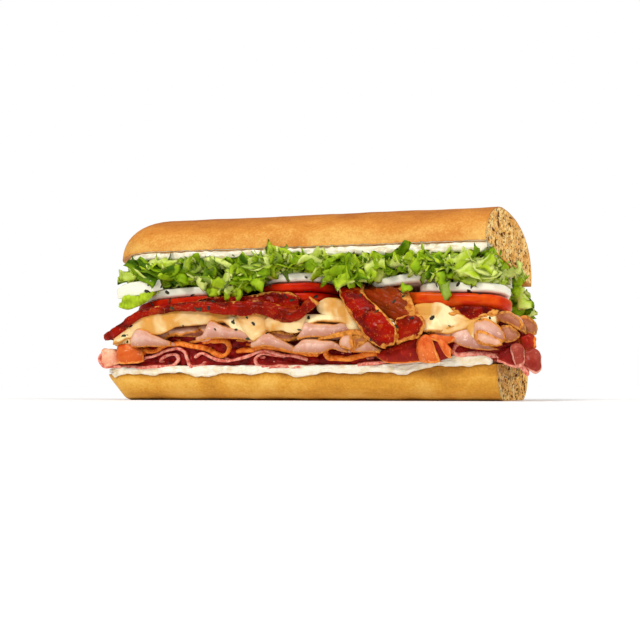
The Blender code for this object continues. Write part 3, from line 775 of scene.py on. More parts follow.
@dataclass(frozen=True)
class Leaf:
    """Shredded lettuce: bright leaf and pale rib."""

    bright: Colour = "B2CA28"
    green: Colour = "88AA12"
    deep: Colour = "3C5E04"
    rib: Colour = "D6E27C"

    def make(self) -> bpy.types.Material:
        """The material: each shred has its own shade, and a pale rib along its middle.

        Returns:
            The material.
        """
        p = Paint("leaf")
        shade = p.sum(p.value("shade"), p.times(p.noise(3.5, 3), 0.5))
        leaf = p.ramp(shade, (0.24, self.deep), (0.52, self.green), (0.86, self.bright), (1.0, self.rib))
        leaf = p.blend(p.times(p.value("rib"), 0.7), leaf, self.rib)
        p.set(Base_Color=leaf, Roughness=0.34, Specular_IOR_Level=0.08)
        p.bump(p.noise(1.3, 3, warp=0.5), 0.3)
        p.soft(0.12, (0.7, 1.0, 0.1), 1.0)
        return p.material


@dataclass(frozen=True)
class Herb:
    """Dried herb flakes and ground pepper."""

    green: Colour = "2C300C"
    brown: Colour = "200F06"

    def make(self) -> bpy.types.Material:
        """The material: dark green or dark brown by place.

        Returns:
            The material.
        """
        p = Paint("herb")
        p.set(Base_Color=p.ramp(p.noise(7, 0), (0.48, self.brown), (0.52, self.green)), Roughness=0.6)
        return p.material


class Finish(Enum):
    """The finishes: the record's material slot that each belongs to, and how it is made."""

    CROWN = ("crust", Roll("crown", "E8B860", "D08632", "AA5F1A"))
    # The lower half's copy: its crumb is brighter, painted light against the shade under the filling; its
    # crust is paler, partly its own colour and partly painted light.
    BASE = ("crust", Roll("base", "ECBE5E", "D99C36", "AE701E", "FFC254", "FFE49C", "E49A3C"))
    CREAM = ("spread", Cream())
    CAPICOLA = ("capicola", Meat("capicola", "98120C", "5E0403", "B4382C", "EFA28C", "CC5E4E", 1.3, 0.15))
    SALAMI = ("salami", Meat("salami", "A81A06", "7A0A02", "CC5020", "F5943A", "DA6414", 2.4, 0.15))
    RIND = (
        "salami",
        Meat("rind", "E8803E", "CC4E14", "F4B488", "F2A24E", "D86A1C", 1.0, 0.1, 0.3, 0.2, "C24A12"),
    )
    HAM = (
        "ham",
        Meat("ham", "F6CEB6", "E2AC96", "FADCCA", "E0923C", "B4681E", 0.85, 0.08, 0.4, 0.4, "A46E68"),
    )
    # A darker copy of the ham: painted shade for ham inside folds, in hollows and set back in the pile.
    SMOKED = (
        "ham",
        Meat("smoked", "CC9070", "A45E42", "DEA688", "D8903C", "9C581C", 1.1, 0.08, 0.3, 0.5, "9A5A48"),
    )
    CURED = ("capicola", Meat("cured", "AE4A38", "8A2418", "CC7C68", "E8A48E", "C4705C", 1.0, 0.15, 0.25))
    FAT = (
        "capicola",
        Meat("fat", "F7CDA8", "EA9C74", "FCE6CE", "F4B48E", "E08A68", 0.9, 0.1, 0.34, 0.1, "E89470"),
    )
    CHEESE = ("cheese", Cheese())
    BACON = ("bacon", Bacon())
    TOMATO = ("tomato", Tomato())
    ORANGE_TOMATO = ("tomato", Tomato("orange_tomato", "E2560E", "CC2C04"))
    ONION = ("onion", Onion())
    LEAF = ("lettuce", Leaf())
    HERB = ("lettuce", Herb())


@dataclass
class Bench:
    """Makes the finished pieces and keeps what has been made."""

    drawing: Drawing
    materials: dict[Finish, bpy.types.Material] = field(default_factory=dict)
    made: dict[str, bpy.types.Object] = field(default_factory=dict)

    def add(self, name: str, skin: Skin, finish: Finish, *nodes: str) -> bpy.types.Object:
        """Turns a surface into a piece that rides on the sandwich.

        Args:
            name: The piece's name.
            skin: Its surface in drawn millimetres.
            finish: Its finish.
            nodes: The solids that it stands for.

        Returns:
            The piece.
        """
        mesh = bpy.data.meshes.new(name)
        faces = [face for block in skin.faces for face in block.tolist()]
        mesh.from_pydata(self.drawing.metres(skin.points).tolist(), [], faces)
        for key, numbers in skin.values.items():
            layer = mesh.attributes.new(key, "FLOAT", "POINT")
            layer.data.foreach_set("value", np.ascontiguousarray(numbers, np.float32))
        mesh.shade_smooth()
        if finish not in self.materials:
            self.materials[finish] = finish.value[1].make()
        mesh.materials.append(self.materials[finish])
        piece = bpy.data.objects.new(name, mesh)
        bpy.context.scene.collection.objects.link(piece)
        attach(piece, "root")
        if nodes:
            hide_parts(*nodes)
        self.made[name] = piece
        LOG.info("%s: %d faces", name, len(faces))
        return piece


@dataclass
class Halves:
    """The two halves of the roll."""

    drawing: Drawing
    upper_reach: float = 30.0
    lower_reach: float = 20.0
    upper_right: float = 96.0
    lower_right: float = 98.4
    crown: float = 25.2
    crown_power: float = 2.35
    side_power: float = 2.3
    foot_half: float = 20.0
    bubbles: int = 230
    step: float = 1.0

    def end_round(self, x: Array, end: float, reach: float) -> Array:
        """1 along the roll, falling to 0 at its closed end along a rounded curve."""
        share = np.clip((end + reach - x) / reach, 0.0, 1.0)
        return (1.0 - share**2.4) ** (1.0 / 2.4)

    def along(self, end: float, reach: float, right: float) -> Array:
        """Section positions, close together round the closed end.

        Args:
            end: The closed end.
            reach: Length of its rounding.
            right: The cut end.

        Returns:
            The positions.
        """
        close = 0.9975, 0.992, 0.98, 0.96, 0.93, 0.89, 0.84
        share = np.array([*close, 0.78, 0.70, 0.61, 0.51, 0.40, 0.28, 0.14])
        inner = np.linspace(end + reach, right, round((right - end - reach) / self.step))
        return np.concatenate([end + reach * (1 - share), inner])

    def finish_body(self, grid: Array, bake: Array, seed: int, lump: float) -> Skin:
        """Adds the closed end's dome and the cut end's porous face to a run of sections.

        Args:
            grid: Sections from the closed end to the cut end.
            bake: How dark the crust is at each point, from 0 to 1: how baked it is, and painted shade along
                the lower half's foot.
            seed: Seed of the lumps and pores.
            lump: Height of the crust's lumps.

        Returns:
            The closed surface with its crust darkening, crumb and pore shade values.
        """
        wide = np.concatenate([grid[:, -2:], grid, grid[:, :2]], axis=1)
        normal = grid_normals(wide)[:, 2:-2]
        section = grid[len(grid) // 2]
        run = np.cumsum(np.linalg.norm(np.diff(section, axis=0, prepend=section[-1:]), axis=1))[None, :]
        relief = waves(grid[..., 0], run, 26.0, seed) + 0.5 * waves(grid[..., 0], run, 9.0, seed + 1)
        fade = smoothstep((grid[..., 0] - grid[0, 0, 0]) / 6.0)
        grid = grid + normal * (relief * lump * fade)[..., None]
        first, last = grid[0], grid[-1]
        shrink = np.array([0.02, 0.2, 0.4, 0.6, 0.8, 0.92])[:, None, None]
        centre = first.mean(axis=0)
        dome = centre + (first - centre) * shrink
        dome[..., 0] -= 1.6 * (1 - shrink[..., 0] ** 2)
        scale = np.concatenate([[0.995, 0.985, 0.97], np.linspace(0.955, 0.004, 66)])[:, None, None]
        middle = last.mean(axis=0)
        face = middle + (last - middle) * scale
        depth, pores = self.pores(face, scale[..., 0], seed)
        face[..., 0] -= depth
        sections = np.concatenate([dome, grid, face])
        ends = np.broadcast_to(bake[:1], dome.shape[:2]), np.broadcast_to(bake[-1:], face.shape[:2])
        full = np.concatenate([ends[0], bake, ends[1]])
        crumb = np.zeros(full.shape)
        crumb[-len(face) :] = smoothstep((0.985 - scale[..., 0]) / 0.02)
        hole = np.zeros(full.shape)
        hole[-len(face) :] = pores
        return loft(sections, {"bake": full, "crumb": crumb, "pore": hole})

    def pores(self, face: Array, scale: Array, seed: int) -> tuple[Array, Array]:
        """Bubbles cut open on the cut face: each is a hollow as deep as half its width.

        Args:
            face: Points of the cut face.
            scale: Each ring's share of the outline, 1 at the crust.
            seed: Seed of the bubbles' places and sizes.

        Returns:
            Depth in millimetres, and how far inside a bubble each point is, where the crumb is painted dark
            as shade.
        """
        rng = np.random.default_rng(seed)
        low, high = face[..., 1:].min(axis=(0, 1)), face[..., 1:].max(axis=(0, 1))
        spots = rng.uniform(low, high, (self.bubbles, 2))
        wide = rng.uniform(0.35, 1.15, (self.bubbles, 1)) * rng.uniform(0.6, 1.5, (self.bubbles, 2))
        depth = np.zeros(face.shape[:2])
        inside = np.zeros(face.shape[:2])
        for spot, reach in zip(spots, wide):
            far = (((face[..., 1:] - spot) / reach) ** 2).sum(axis=-1)
            cup = np.sqrt(np.clip(1 - far, 0, 1))
            depth = np.maximum(depth, cup * reach.mean() * 0.9)
            inside = np.maximum(inside, cup)
        uneven = 0.35 * waves(face[..., 1], face[..., 2], 5.0, seed + 5) + 0.5
        rim = smoothstep((0.97 - scale) / 0.03)
        return (depth + uneven) * rim, inside * rim

    def upper(self) -> Skin:
        """The crown: a flattened arch over a flat cut face, tilted because the roll gapes.

        Returns:
            The closed surface.
        """
        d = self.drawing
        arch = np.linspace(0, math.pi, 160)
        across = -np.sign(np.cos(arch)) * np.abs(np.cos(arch)) ** (2 / self.crown_power)
        high = np.abs(np.sin(arch)) ** (2 / self.crown_power)
        flat = np.linspace(1, -1, 62)[1:-1]
        across, high = np.concatenate([across, flat]), np.concatenate([high, 0 * flat])
        x = self.along(d.upper_left_end, self.upper_reach, self.upper_right)[:, None]
        shape = self.end_round(x, d.upper_left_end, self.upper_reach)
        swell = 1 + 0.004 * np.sin(x / 17.0) + 0.002 * np.sin(x / 7.3 + 1.0)
        y = across * d.half_width * (0.35 + 0.65 * shape) * (0.99 + 0.01 * swell)
        z = high * self.crown * (0.30 + 0.70 * shape) * swell
        tilt, middle = d.gape()
        world_y = y * math.cos(tilt) + z * math.sin(tilt)
        world_z = middle - y * math.sin(tilt) + z * math.cos(tilt) + (1 - shape) * 1.5
        slant = (x - d.upper_left_end) / (self.upper_right - d.upper_left_end)
        skew = np.interp(y, (-d.half_width, d.half_width), (94.0, 100.5)) - self.upper_right
        grid = np.stack([x + skew * slant**6, world_y, world_z], axis=-1)
        bake = 0.02 + 0.24 * smoothstep((z - 7.0) / 14.0) + 0.06 * smoothstep((2.0 - z) / 3.0)
        return self.finish_body(grid, bake, 21, 0.07)

    def lower(self) -> Skin:
        """The base: a flat foot, sides that round outwards, and a flat cut face.

        Returns:
            The closed surface.
        """
        d = self.drawing
        turn = np.linspace(0, math.pi / 2, 60)
        out = self.foot_half + (d.half_width - self.foot_half) * np.cos(turn) ** (2 / self.side_power)
        down = np.sin(turn) ** (2 / self.side_power)
        flat = np.linspace(1, -1, 52)[1:-1]
        foot = np.linspace(-self.foot_half, self.foot_half, 42)[1:-1]
        across = np.concatenate([-out, foot, out[::-1], flat * d.half_width])
        depth = np.concatenate([down, np.ones(len(foot)), down[::-1], 0 * flat])
        x = self.along(d.lower_left_end, self.lower_reach, self.lower_right)[:, None]
        shape = self.end_round(x, d.lower_left_end, self.lower_reach)
        ramp = np.clip((d.lower_left_end + 12.0 - x) / 12.0, 0, 1)
        top = d.lower_cut_height(x) - 0.8 * ramp
        z = top - depth * (top - 13.5 * ramp)
        y = across * (0.45 + 0.55 * shape)
        slant = (x - d.lower_left_end) / (self.lower_right - d.lower_left_end)
        skew = np.interp(y, (-d.half_width, d.half_width), (99.4, 98.4)) - self.lower_right
        grid = np.stack([x + skew * slant**6, y, z], axis=-1)
        # Darker along the foot, where the crust turns under onto the floor: painted shade. Also darker just
        # under the cut face and paler towards the cut end.
        low = smoothstep((3.5 - z) / 4.0)
        bake = 0.05 + 0.07 * waves(x, z, 22.0, 3) + 0.32 * smoothstep((1.6 - z) / 1.6) + 0.05 * low
        bake = bake + 0.25 * smoothstep((z - 9.5) / 4.0) - 0.06 * smoothstep((x - 60.0) / 30.0)
        skin = self.finish_body(grid, np.clip(bake, 0, 1), 33, 0.14)
        skin.points[:, 2] = np.maximum(skin.points[:, 2], 0.0)
        return skin

    def build(self, bench: Bench) -> None:
        """Makes both halves."""
        bench.add("roll_upper", self.upper(), Finish.CROWN, "bread_top")
        bench.add("roll_lower", self.lower(), Finish.BASE, "bread_bottom")


@dataclass
class Spreads:
    """The creamy spread on both cut faces, bulging out unevenly at their edges."""

    drawing: Drawing
    thickness: float = 3.0
    step: float = 0.8
    lower_span: tuple[float, float] = (-99.5, 97.6)
    upper_span: tuple[float, float] = (-88.0, 95.0)

    def scallop(self, x: Array, phase: float) -> Array:
        """The uneven edge, from 0 to 1: two slow waves and two quick ones."""
        slow = 0.52 + 0.26 * np.sin(x / 4.1 + phase) + 0.2 * np.sin(x / 7.7 + 2.0 * phase)
        return np.maximum(slow + 0.08 * np.sin(x / 1.7 + phase) + 0.04 * np.sin(x / 0.9), 0.0)

    def swollen(self, loop: list[tuple[Array, Array]], x: Array, seed: int, lump: float) -> Array:
        """Closed sections through corner points, rounded and with low lumps.

        Args:
            loop: Corner points (y, z) of each section, as arrays over x.
            x: Section positions.
            seed: Seed of the lumps.
            lump: Height of the lumps.

        Returns:
            The sections, shaped (sections, points, 3).
        """
        corners = np.stack([np.stack([y + 0 * x, z + 0 * x], axis=-1) for y, z in loop], axis=1)
        closed = np.concatenate([corners, corners[:, :1]], axis=1)
        fine = smooth_rows(closed, np.linspace(0, 1, 7 * len(loop) + 1))[:, :-1]
        outer = np.abs(fine[..., 0]) > 30.0
        shake = lump * waves(x[:, None], fine[..., 1] * 3 + np.sign(fine[..., 0]) * 40, 5.0, seed) * outer
        y = fine[..., 0] + shake * np.sign(fine[..., 0])
        return np.stack([np.broadcast_to(x[:, None], y.shape), y, fine[..., 1] + 0.4 * shake], axis=-1)

    def lower(self, halves: Halves) -> Skin:
        """The lower spread, which laps over the crust's edge in scallops.

        Args:
            halves: The roll that it lies in.

        Returns:
            The closed surface.
        """
        d = self.drawing
        left, right = self.lower_span
        x = np.linspace(left, right, round((right - left) / self.step))
        floor = d.lower_cut_height(x) + 0.3
        width = d.half_width * (0.45 + 0.55 * halves.end_round(x, d.lower_left_end, halves.lower_reach))
        end = smoothstep(np.minimum((x - left) / 5.0, (right - x) / 2.0))
        thick = (self.thickness + 0.2) * (0.55 + 0.45 * end) + 2.4 * smoothstep((x - 76.0) / 8.0) * end
        out = 1.6 * (0.25 + 0.75 * end)
        loop = []
        for sign, phase in ((-1, 0.4), (1, 2.1)):
            lap = 2.8 * self.scallop(x, phase) ** 1.3 * end
            lapped = [(0.42, -lap), (0.62 * out + 0.4, -0.6 * lap)]
            swelling = [(out, 0.45 * thick), (0.5 * out, 0.92 * thick)]
            side = [(sign * (width + dy), floor + dz) for dy, dz in lapped + swelling]
            inner = [(sign * (width - 5.0), floor + thick), (sign * 14.0, floor + thick)]
            loop += side + inner if sign < 0 else (side + inner)[::-1]
        loop += [(width + 0.42, floor), (width - 6.0, floor), (-width + 6.0, floor), (-width - 0.42, floor)]
        return loft(self.swollen(loop, x, 5, 0.3), {})

    def upper(self, halves: Halves) -> Skin:
        """The upper spread, under the tilted cut face of the crown.

        Args:
            halves: The roll that it lies in.

        Returns:
            The closed surface.
        """
        d = self.drawing
        left, right = self.upper_span
        x = np.linspace(left, right, round((right - left) / self.step))
        width = d.half_width * (0.35 + 0.65 * halves.end_round(x, d.upper_left_end, halves.upper_reach)) - 0.6
        end = smoothstep(np.minimum((x - left) / 6.0, (right - x) / 3.0))
        thick = (1.25 + 0.35 * smoothstep((x - 10.0) / 40.0)) * self.thickness * (0.6 + 0.4 * end)
        loop = []
        for sign, phase in ((-1, 1.3), (1, 0.2)):
            bulge = (0.6 + 2.2 * self.scallop(x, phase)) * end
            drip = 1.2 * self.scallop(x, phase + 2.2) * end
            swelling = [(0, 0), (bulge, -0.4 * thick), (0.7 * bulge, -thick - 0.5 * drip)]
            side = [(sign * (width + dy), dz) for dy, dz in swelling + [(-2.5, -thick - 0.2 * drip)]]
            side.append((sign * 12.0, -thick))
            loop += side if sign < 0 else side[::-1]
        loop += [(width - 4.0, 0.0), (-width + 4.0, 0.0)]
        sections = self.swollen(loop, x, 8, 0.26)
        tilt, middle = d.gape()
        y, z = sections[..., 1], sections[..., 2] + 0.25
        turned_y = y * math.cos(tilt) + z * math.sin(tilt)
        turned_z = middle - y * math.sin(tilt) + z * math.cos(tilt)
        return loft(np.stack([sections[..., 0], turned_y, turned_z], axis=-1), {})

    def build(self, bench: Bench, halves: Halves) -> None:
        """Makes both spreads."""
        bench.add("cream_lower", self.lower(halves), Finish.CREAM, "spread_bottom")
        bench.add("cream_upper", self.upper(halves), Finish.CREAM, "spread_top")


@dataclass(frozen=True)
class Fold:
    """A folded slice seen edge on: how far it reaches to the front and back, and its line (x, z) there."""

    node: str
    finish: Finish
    reach: tuple[float, float]
    line: tuple[Point, ...]
    thickness: float = 1.45


FOLDS = (
    Fold("capicola_1", Finish.CAPICOLA, (39.0, 38.0), ((-94.6, 24.4), (-99, 24.6), (-102, 22.6), (-101, 19.4),
        (-97, 18.2), (-88, 18), (-80, 18), (-67, 18), (-60.5, 18.8), (-58.8, 21), (-60.8, 23.3), (-65, 22.6),
        (-69.5, 20.4))),
    Fold("capicola_2", Finish.CAPICOLA, (38.6, 38.4), ((-79, 20.3), (-72, 22.8), (-66, 25.1), (-60, 25.8),
        (-55.4, 24.1), (-54, 21), (-53, 18.9), (-49, 18), (-45.5, 18))),
    Fold("capicola_3", Finish.CAPICOLA, (39.4, 37.6), ((-50.2, 21.6), (-46.5, 23.0), (-42, 21.4), (-36, 19.7),
        (-30, 19.8), (-24, 21.2), (-17, 23.2), (-10, 23.6), (-3, 22.6), (3, 21.2), (8, 20.2))),
    Fold("capicola_4", Finish.CAPICOLA, (38.8, 38.2), ((-3.5, 21.3), (-9, 22.8), (-14.5, 22.6), (-18.3, 20.7),
        (-16.8, 18.4), (-11, 18), (0, 18), (12, 18.3))),
    Fold("capicola_5", Finish.CAPICOLA, (39.6, 38.6), ((33, 18), (38, 18.1), (44, 18.7), (50, 19.2), (57, 20),
        (64.5, 20.6))),
    Fold("capicola_6", Finish.CAPICOLA, (39.0, 37.0), ((101, 25), (97, 25.2), (90, 26.3), (84, 27.3),
        (80.5, 25.7), (79.6, 23.4), (82, 21.9), (88, 21.7), (97, 21.7), (105, 20.4), (110.5, 17.6),
        (113.5, 13)), 2.3),
    Fold("salami_1", Finish.SALAMI, (38.2, 37.6), ((-90.4, 20.8), (-90.6, 23.6), (-86.5, 24.9), (-82, 25),
        (-76, 24.9), (-71, 26), (-66, 27.7), (-60, 28.2), (-54, 27.2), (-46, 25.5), (-41.5, 24.2),
        (-36.6, 22.2), (-33.1, 23.4), (-32, 26.4), (-34, 29.1), (-38, 29.9), (-43, 29.2), (-47, 28.4)), 2.3),
    Fold("salami_2", Finish.SALAMI, (38.8, 37.2), ((-28.5, 23.8), (-23, 24.6), (-17, 25.7), (-10, 26.0),
        (-3, 25.0), (3, 23.6), (9, 22.5), (14, 22.2)), 2.5),
    Fold("salami_3", Finish.SALAMI, (39.4, 38.0), ((38, 24.8), (31, 24.8), (25, 26.5), (20, 26.3),
        (17.6, 23.6), (19.2, 20.9), (24, 20), (31, 20.5), (38, 22), (46, 23.1)), 2.5),
    Fold("salami_4", Finish.SALAMI, (38.4, 37.4), ((78, 29), (72, 29.8), (66.5, 29.6), (63.6, 26.6),
        (66, 23.4), (71, 23), (76, 24)), 2.0),
    Fold("salami_5", Finish.SALAMI, (39.0, 38.4), ((50.5, 21.8), (55, 22.4), (60, 24), (60.6, 26.8),
        (57, 28.8)), 1.7),
    Fold("salami_6", Finish.SALAMI, (27.0, 30.0), ((93, 28.5), (101, 28.4), (107.6, 29.3), (111.6, 27.6),
        (112.2, 24.8), (109.6, 23.2), (106, 24.4)), 1.6),
    Fold("ham_roll", Finish.HAM, (40.6, 38.0), ((58, 31.6), (51, 31.4), (45, 32.2), (40, 31.2), (38, 28.7),
        (40.5, 26.8), (45, 27.3), (49, 28.3))),
    Fold("ham_curl", Finish.HAM, (39.8, 36.0), ((97.5, 34), (92.5, 34.8), (87.8, 33.6), (86.4, 31.4),
        (88.8, 29.8), (94, 30.8), (100, 31.2), (107, 32.2), (111, 34.4), (109.4, 37.4), (104, 38.4),
        (98.6, 37.4))),
)


@dataclass
class FoldedSlices:
    """Thin slices whose folds show at the front and run through the filling."""

    drawing: Drawing
    step: float = 0.5
    depth_step: float = 3.0
    rim: float = 1.2
    droop_reach: float = 5.0
    lowest_line: float = 19.4

    def surface(self, fold: Fold, seed: int) -> Skin:
        """The front line carried from front to back, with a wandering front edge and soft dents.

        Args:
            fold: The slice.
            seed: Seed of its wandering edge.

        Returns:
            The closed surface with each point's distance from the slice's rim.
        """
        dense = smooth_line(np.array(fold.line), 400)
        length = np.linalg.norm(np.diff(dense, axis=0), axis=1).sum()
        run = stations(length, self.step, self.rim)
        at = np.linspace(0, length, 400)
        line = np.stack([np.interp(run, at, dense[:, k]) for k in (0, 1)], axis=1)
        front, back = fold.reach
        corner = 1.5 * np.abs(2 * run / length - 1) ** 6
        ripple = 0.4 * np.sin(line[:, 0] / 3.7) + 0.3 * waves(run, 0 * run, 6.0, seed)
        near, far = -front + corner + ripple, back - corner + ripple
        share = (stations(front + back, self.depth_step, self.rim) / (front + back))[None, :]
        inwards = (far - near)[:, None] * share
        y = near[:, None] + inwards
        x = line[:, :1] + 0.25 * waves(line[:, :1], y, 14.0, 61)
        z = line[:, 1:2] + 0.25 * waves(line[:, :1], y, 12.0, 62)
        rim_depth = np.minimum(share, 1 - share) * (far - near)[:, None]
        edge = np.minimum(np.minimum(run, length - run)[:, None], rim_depth)
        lowest = 1.1 * smoothstep((self.lowest_line - line[:, 1]) / 1.2)
        droop = (1.0 + lowest + 0.5 * waves(run, 0 * run, 13.0, seed + 9))[:, None]
        z = z + 0.3 - droop * smoothstep((self.droop_reach - inwards) / self.droop_reach)
        fat = fold.thickness * (1 + 0.13 * waves(run, 0 * run, 7.0, seed + 5))[:, None]
        thickness = fat * (1 - 0.2 * share)
        return closed_sheet(self.drawing.place(x, y, z), rounded(edge, thickness), {"edge": edge})

    def build(self, bench: Bench) -> None:
        """Makes every folded slice."""
        for seed, fold in enumerate(FOLDS):
            bench.add(f"{fold.node}_slice", self.surface(fold, 100 + seed), fold.finish, fold.node)


@dataclass(frozen=True)
class Drape:
    """A slice that lies flat and hangs over the pile's edges: span, height, reach and how far it hangs.

    Its heights are those at its left and right ends, and hang is given at even steps along it.
    """

    node: str
    finish: Finish
    span: tuple[float, float]
    heights: tuple[float, float]
    reach: tuple[float, float]
    hang: tuple[float, ...]


DRAPES = (
    Drape("ham_1", Finish.HAM, (-86, -60), (33.0, 33.0), (37.2, 36.4), (1.5, 4.0, 5.0, 4.0, 2.0)),
    Drape("ham_2", Finish.HAM, (-70, -46.5), (34.6, 34.6), (38.6, 38.2), (1.5, 3.2, 4.0, 3.6, 2.0)),
    Drape("ham_3", Finish.HAM, (-47, -17), (35.4, 35.4), (39.0, 38.2), (2.0, 5.5, 5.0, 4.5, 3.0)),
    Drape("ham_4", Finish.HAM, (-25, 4), (33.1, 33.1), (37.4, 36.4), (2.0, 5.0, 6.0, 6.0, 4.0)),
    Drape("ham_5", Finish.HAM, (2, 33), (35.2, 35.2), (39.4, 38.0), (2.0, 5.5, 5.0, 6.0, 3.0)),
    Drape("ham_6", Finish.HAM, (6.5, 35), (32.6, 32.6), (37.6, 36.2), (7.0, 7.5, 4.5, 4.5, 2.0)),
    Drape("ham_7", Finish.HAM, (61, 83.4), (34.4, 33.8), (39.0, 38.0), (2.0, 3.5, 5.5, 6.5, 3.0)),
    Drape("cheese_1", Finish.CHEESE, (-92, -58), (39.0, 39.0), (41.0, 40.4), (3.0, 6.0, 7.5, 6.5, 4.0, 1.5)),
    Drape("cheese_2", Finish.CHEESE, (-56.5, -14), (39.2, 39.2), (41.4, 40.4), (2.5, 3.5, 3, 4, 10.5, 3)),
    Drape("cheese_3", Finish.CHEESE, (-12.5, 35), (39.2, 39.2), (41.4, 40.4), (3.0, 6.5, 6.5, 3.5, 4.0, 7.5)),
    Drape("cheese_4", Finish.CHEESE, (48, 92), (40.2, 36.9), (41.0, 40.4), (4.0, 6.0, 8.5, 8.0, 5.0, 3.0)),
)


@dataclass
class DrapedSlices:
    """Cooked meat and cheese that hang over the edges of the pile."""

    drawing: Drawing
    lip_radius: float = 1.5
    lip_angle: float = math.radians(80)
    back_hang: float = 0.55
    cheese_thickness: float = 1.9
    meat_thickness: float = 1.4

    def over(self, flat: Array, reach: float) -> tuple[Array, Array]:
        """(outward, down) of a strip that lies flat to its reach, turns over a round lip and hangs.

        Args:
            flat: Distance along the strip from the pile's middle.
            reach: Where the lip begins.

        Returns:
            How far out and how far down each point is.
        """
        beyond = np.clip(flat - reach, 0, None)
        turned = np.minimum(beyond / self.lip_radius, self.lip_angle)
        straight = np.clip(beyond - self.lip_radius * self.lip_angle, 0, None)
        out = np.minimum(flat, reach) + self.lip_radius * np.sin(turned) + straight * math.cos(self.lip_angle)
        return out, self.lip_radius * (1 - np.cos(turned)) + straight * math.sin(self.lip_angle)

    def surface(self, drape: Drape, seed: int) -> Skin:
        """A flat sheet bent over the lip at both sides, with soft ruffles where it hangs.

        Args:
            drape: The slice.
            seed: Seed of its ruffles.

        Returns:
            The closed surface with each point's distance from the slice's rim.
        """
        left, right = drape.span
        front, back = drape.reach
        run = stations(right - left, 0.6, 1.2)
        x = left + run
        share = run / (right - left)
        height = np.interp(share, (0, 1), drape.heights)
        hang = np.maximum(even_values(drape.hang, share), 1.0) + 0.35 * waves(x, 0 * x, 5.0, seed)
        hang = np.maximum(hang, 0.8)
        lip = np.concatenate([(0.0, 0.05, 0.14, 0.3, 0.5, 0.75), np.linspace(1.0, 14.0, 30)])
        lip = lip / lip[-1]
        reach_out = -(front + hang[:, None]) + (hang[:, None] + 3.0) * lip[None, :]
        middle = np.linspace(-front + 3.4, back - 2.9, 18)[None, :] + 0 * x[:, None]
        back_hang = self.back_hang * hang[:, None] + 0.9
        reach_back = (back + back_hang) - (back_hang + 2.5) * lip[None, ::-1]
        flat = np.concatenate([reach_out, middle, reach_back], axis=1)
        at_front = flat < 0
        out, down = self.over(np.abs(flat), np.where(at_front, front, back))
        side = np.where(at_front, -1.0, 1.0)
        ruffle = 0.55 * waves(x[:, None], 0 * flat, 8.0, seed + 40) + 0.4 * np.sin(x[:, None] / 4.3)
        y = side * out
        level = (height - self.drawing.droop(x))[:, None]
        spot = self.drawing.place(x[:, None], np.clip(y, -front, back), level)
        z = spot[..., 2] - down + 0.15 * waves(x[:, None], y, 10.0, seed + 80)
        grid = np.stack([spot[..., 0], y + ruffle * smoothstep(down / 3.0), z], axis=-1)
        rim_y = np.minimum(flat - flat[:, :1], flat[:, -1:] - flat)
        edge = np.minimum(np.minimum(run, right - left - run)[:, None], rim_y)
        thick = self.cheese_thickness if drape.finish is Finish.CHEESE else self.meat_thickness
        return closed_sheet(grid, rounded(edge, thick), {"edge": edge})

    def build(self, bench: Bench) -> None:
        """Makes every draped slice."""
        for seed, drape in enumerate(DRAPES):
            bench.add(f"{drape.node}_slice", self.surface(drape, 200 + seed), drape.finish, drape.node)


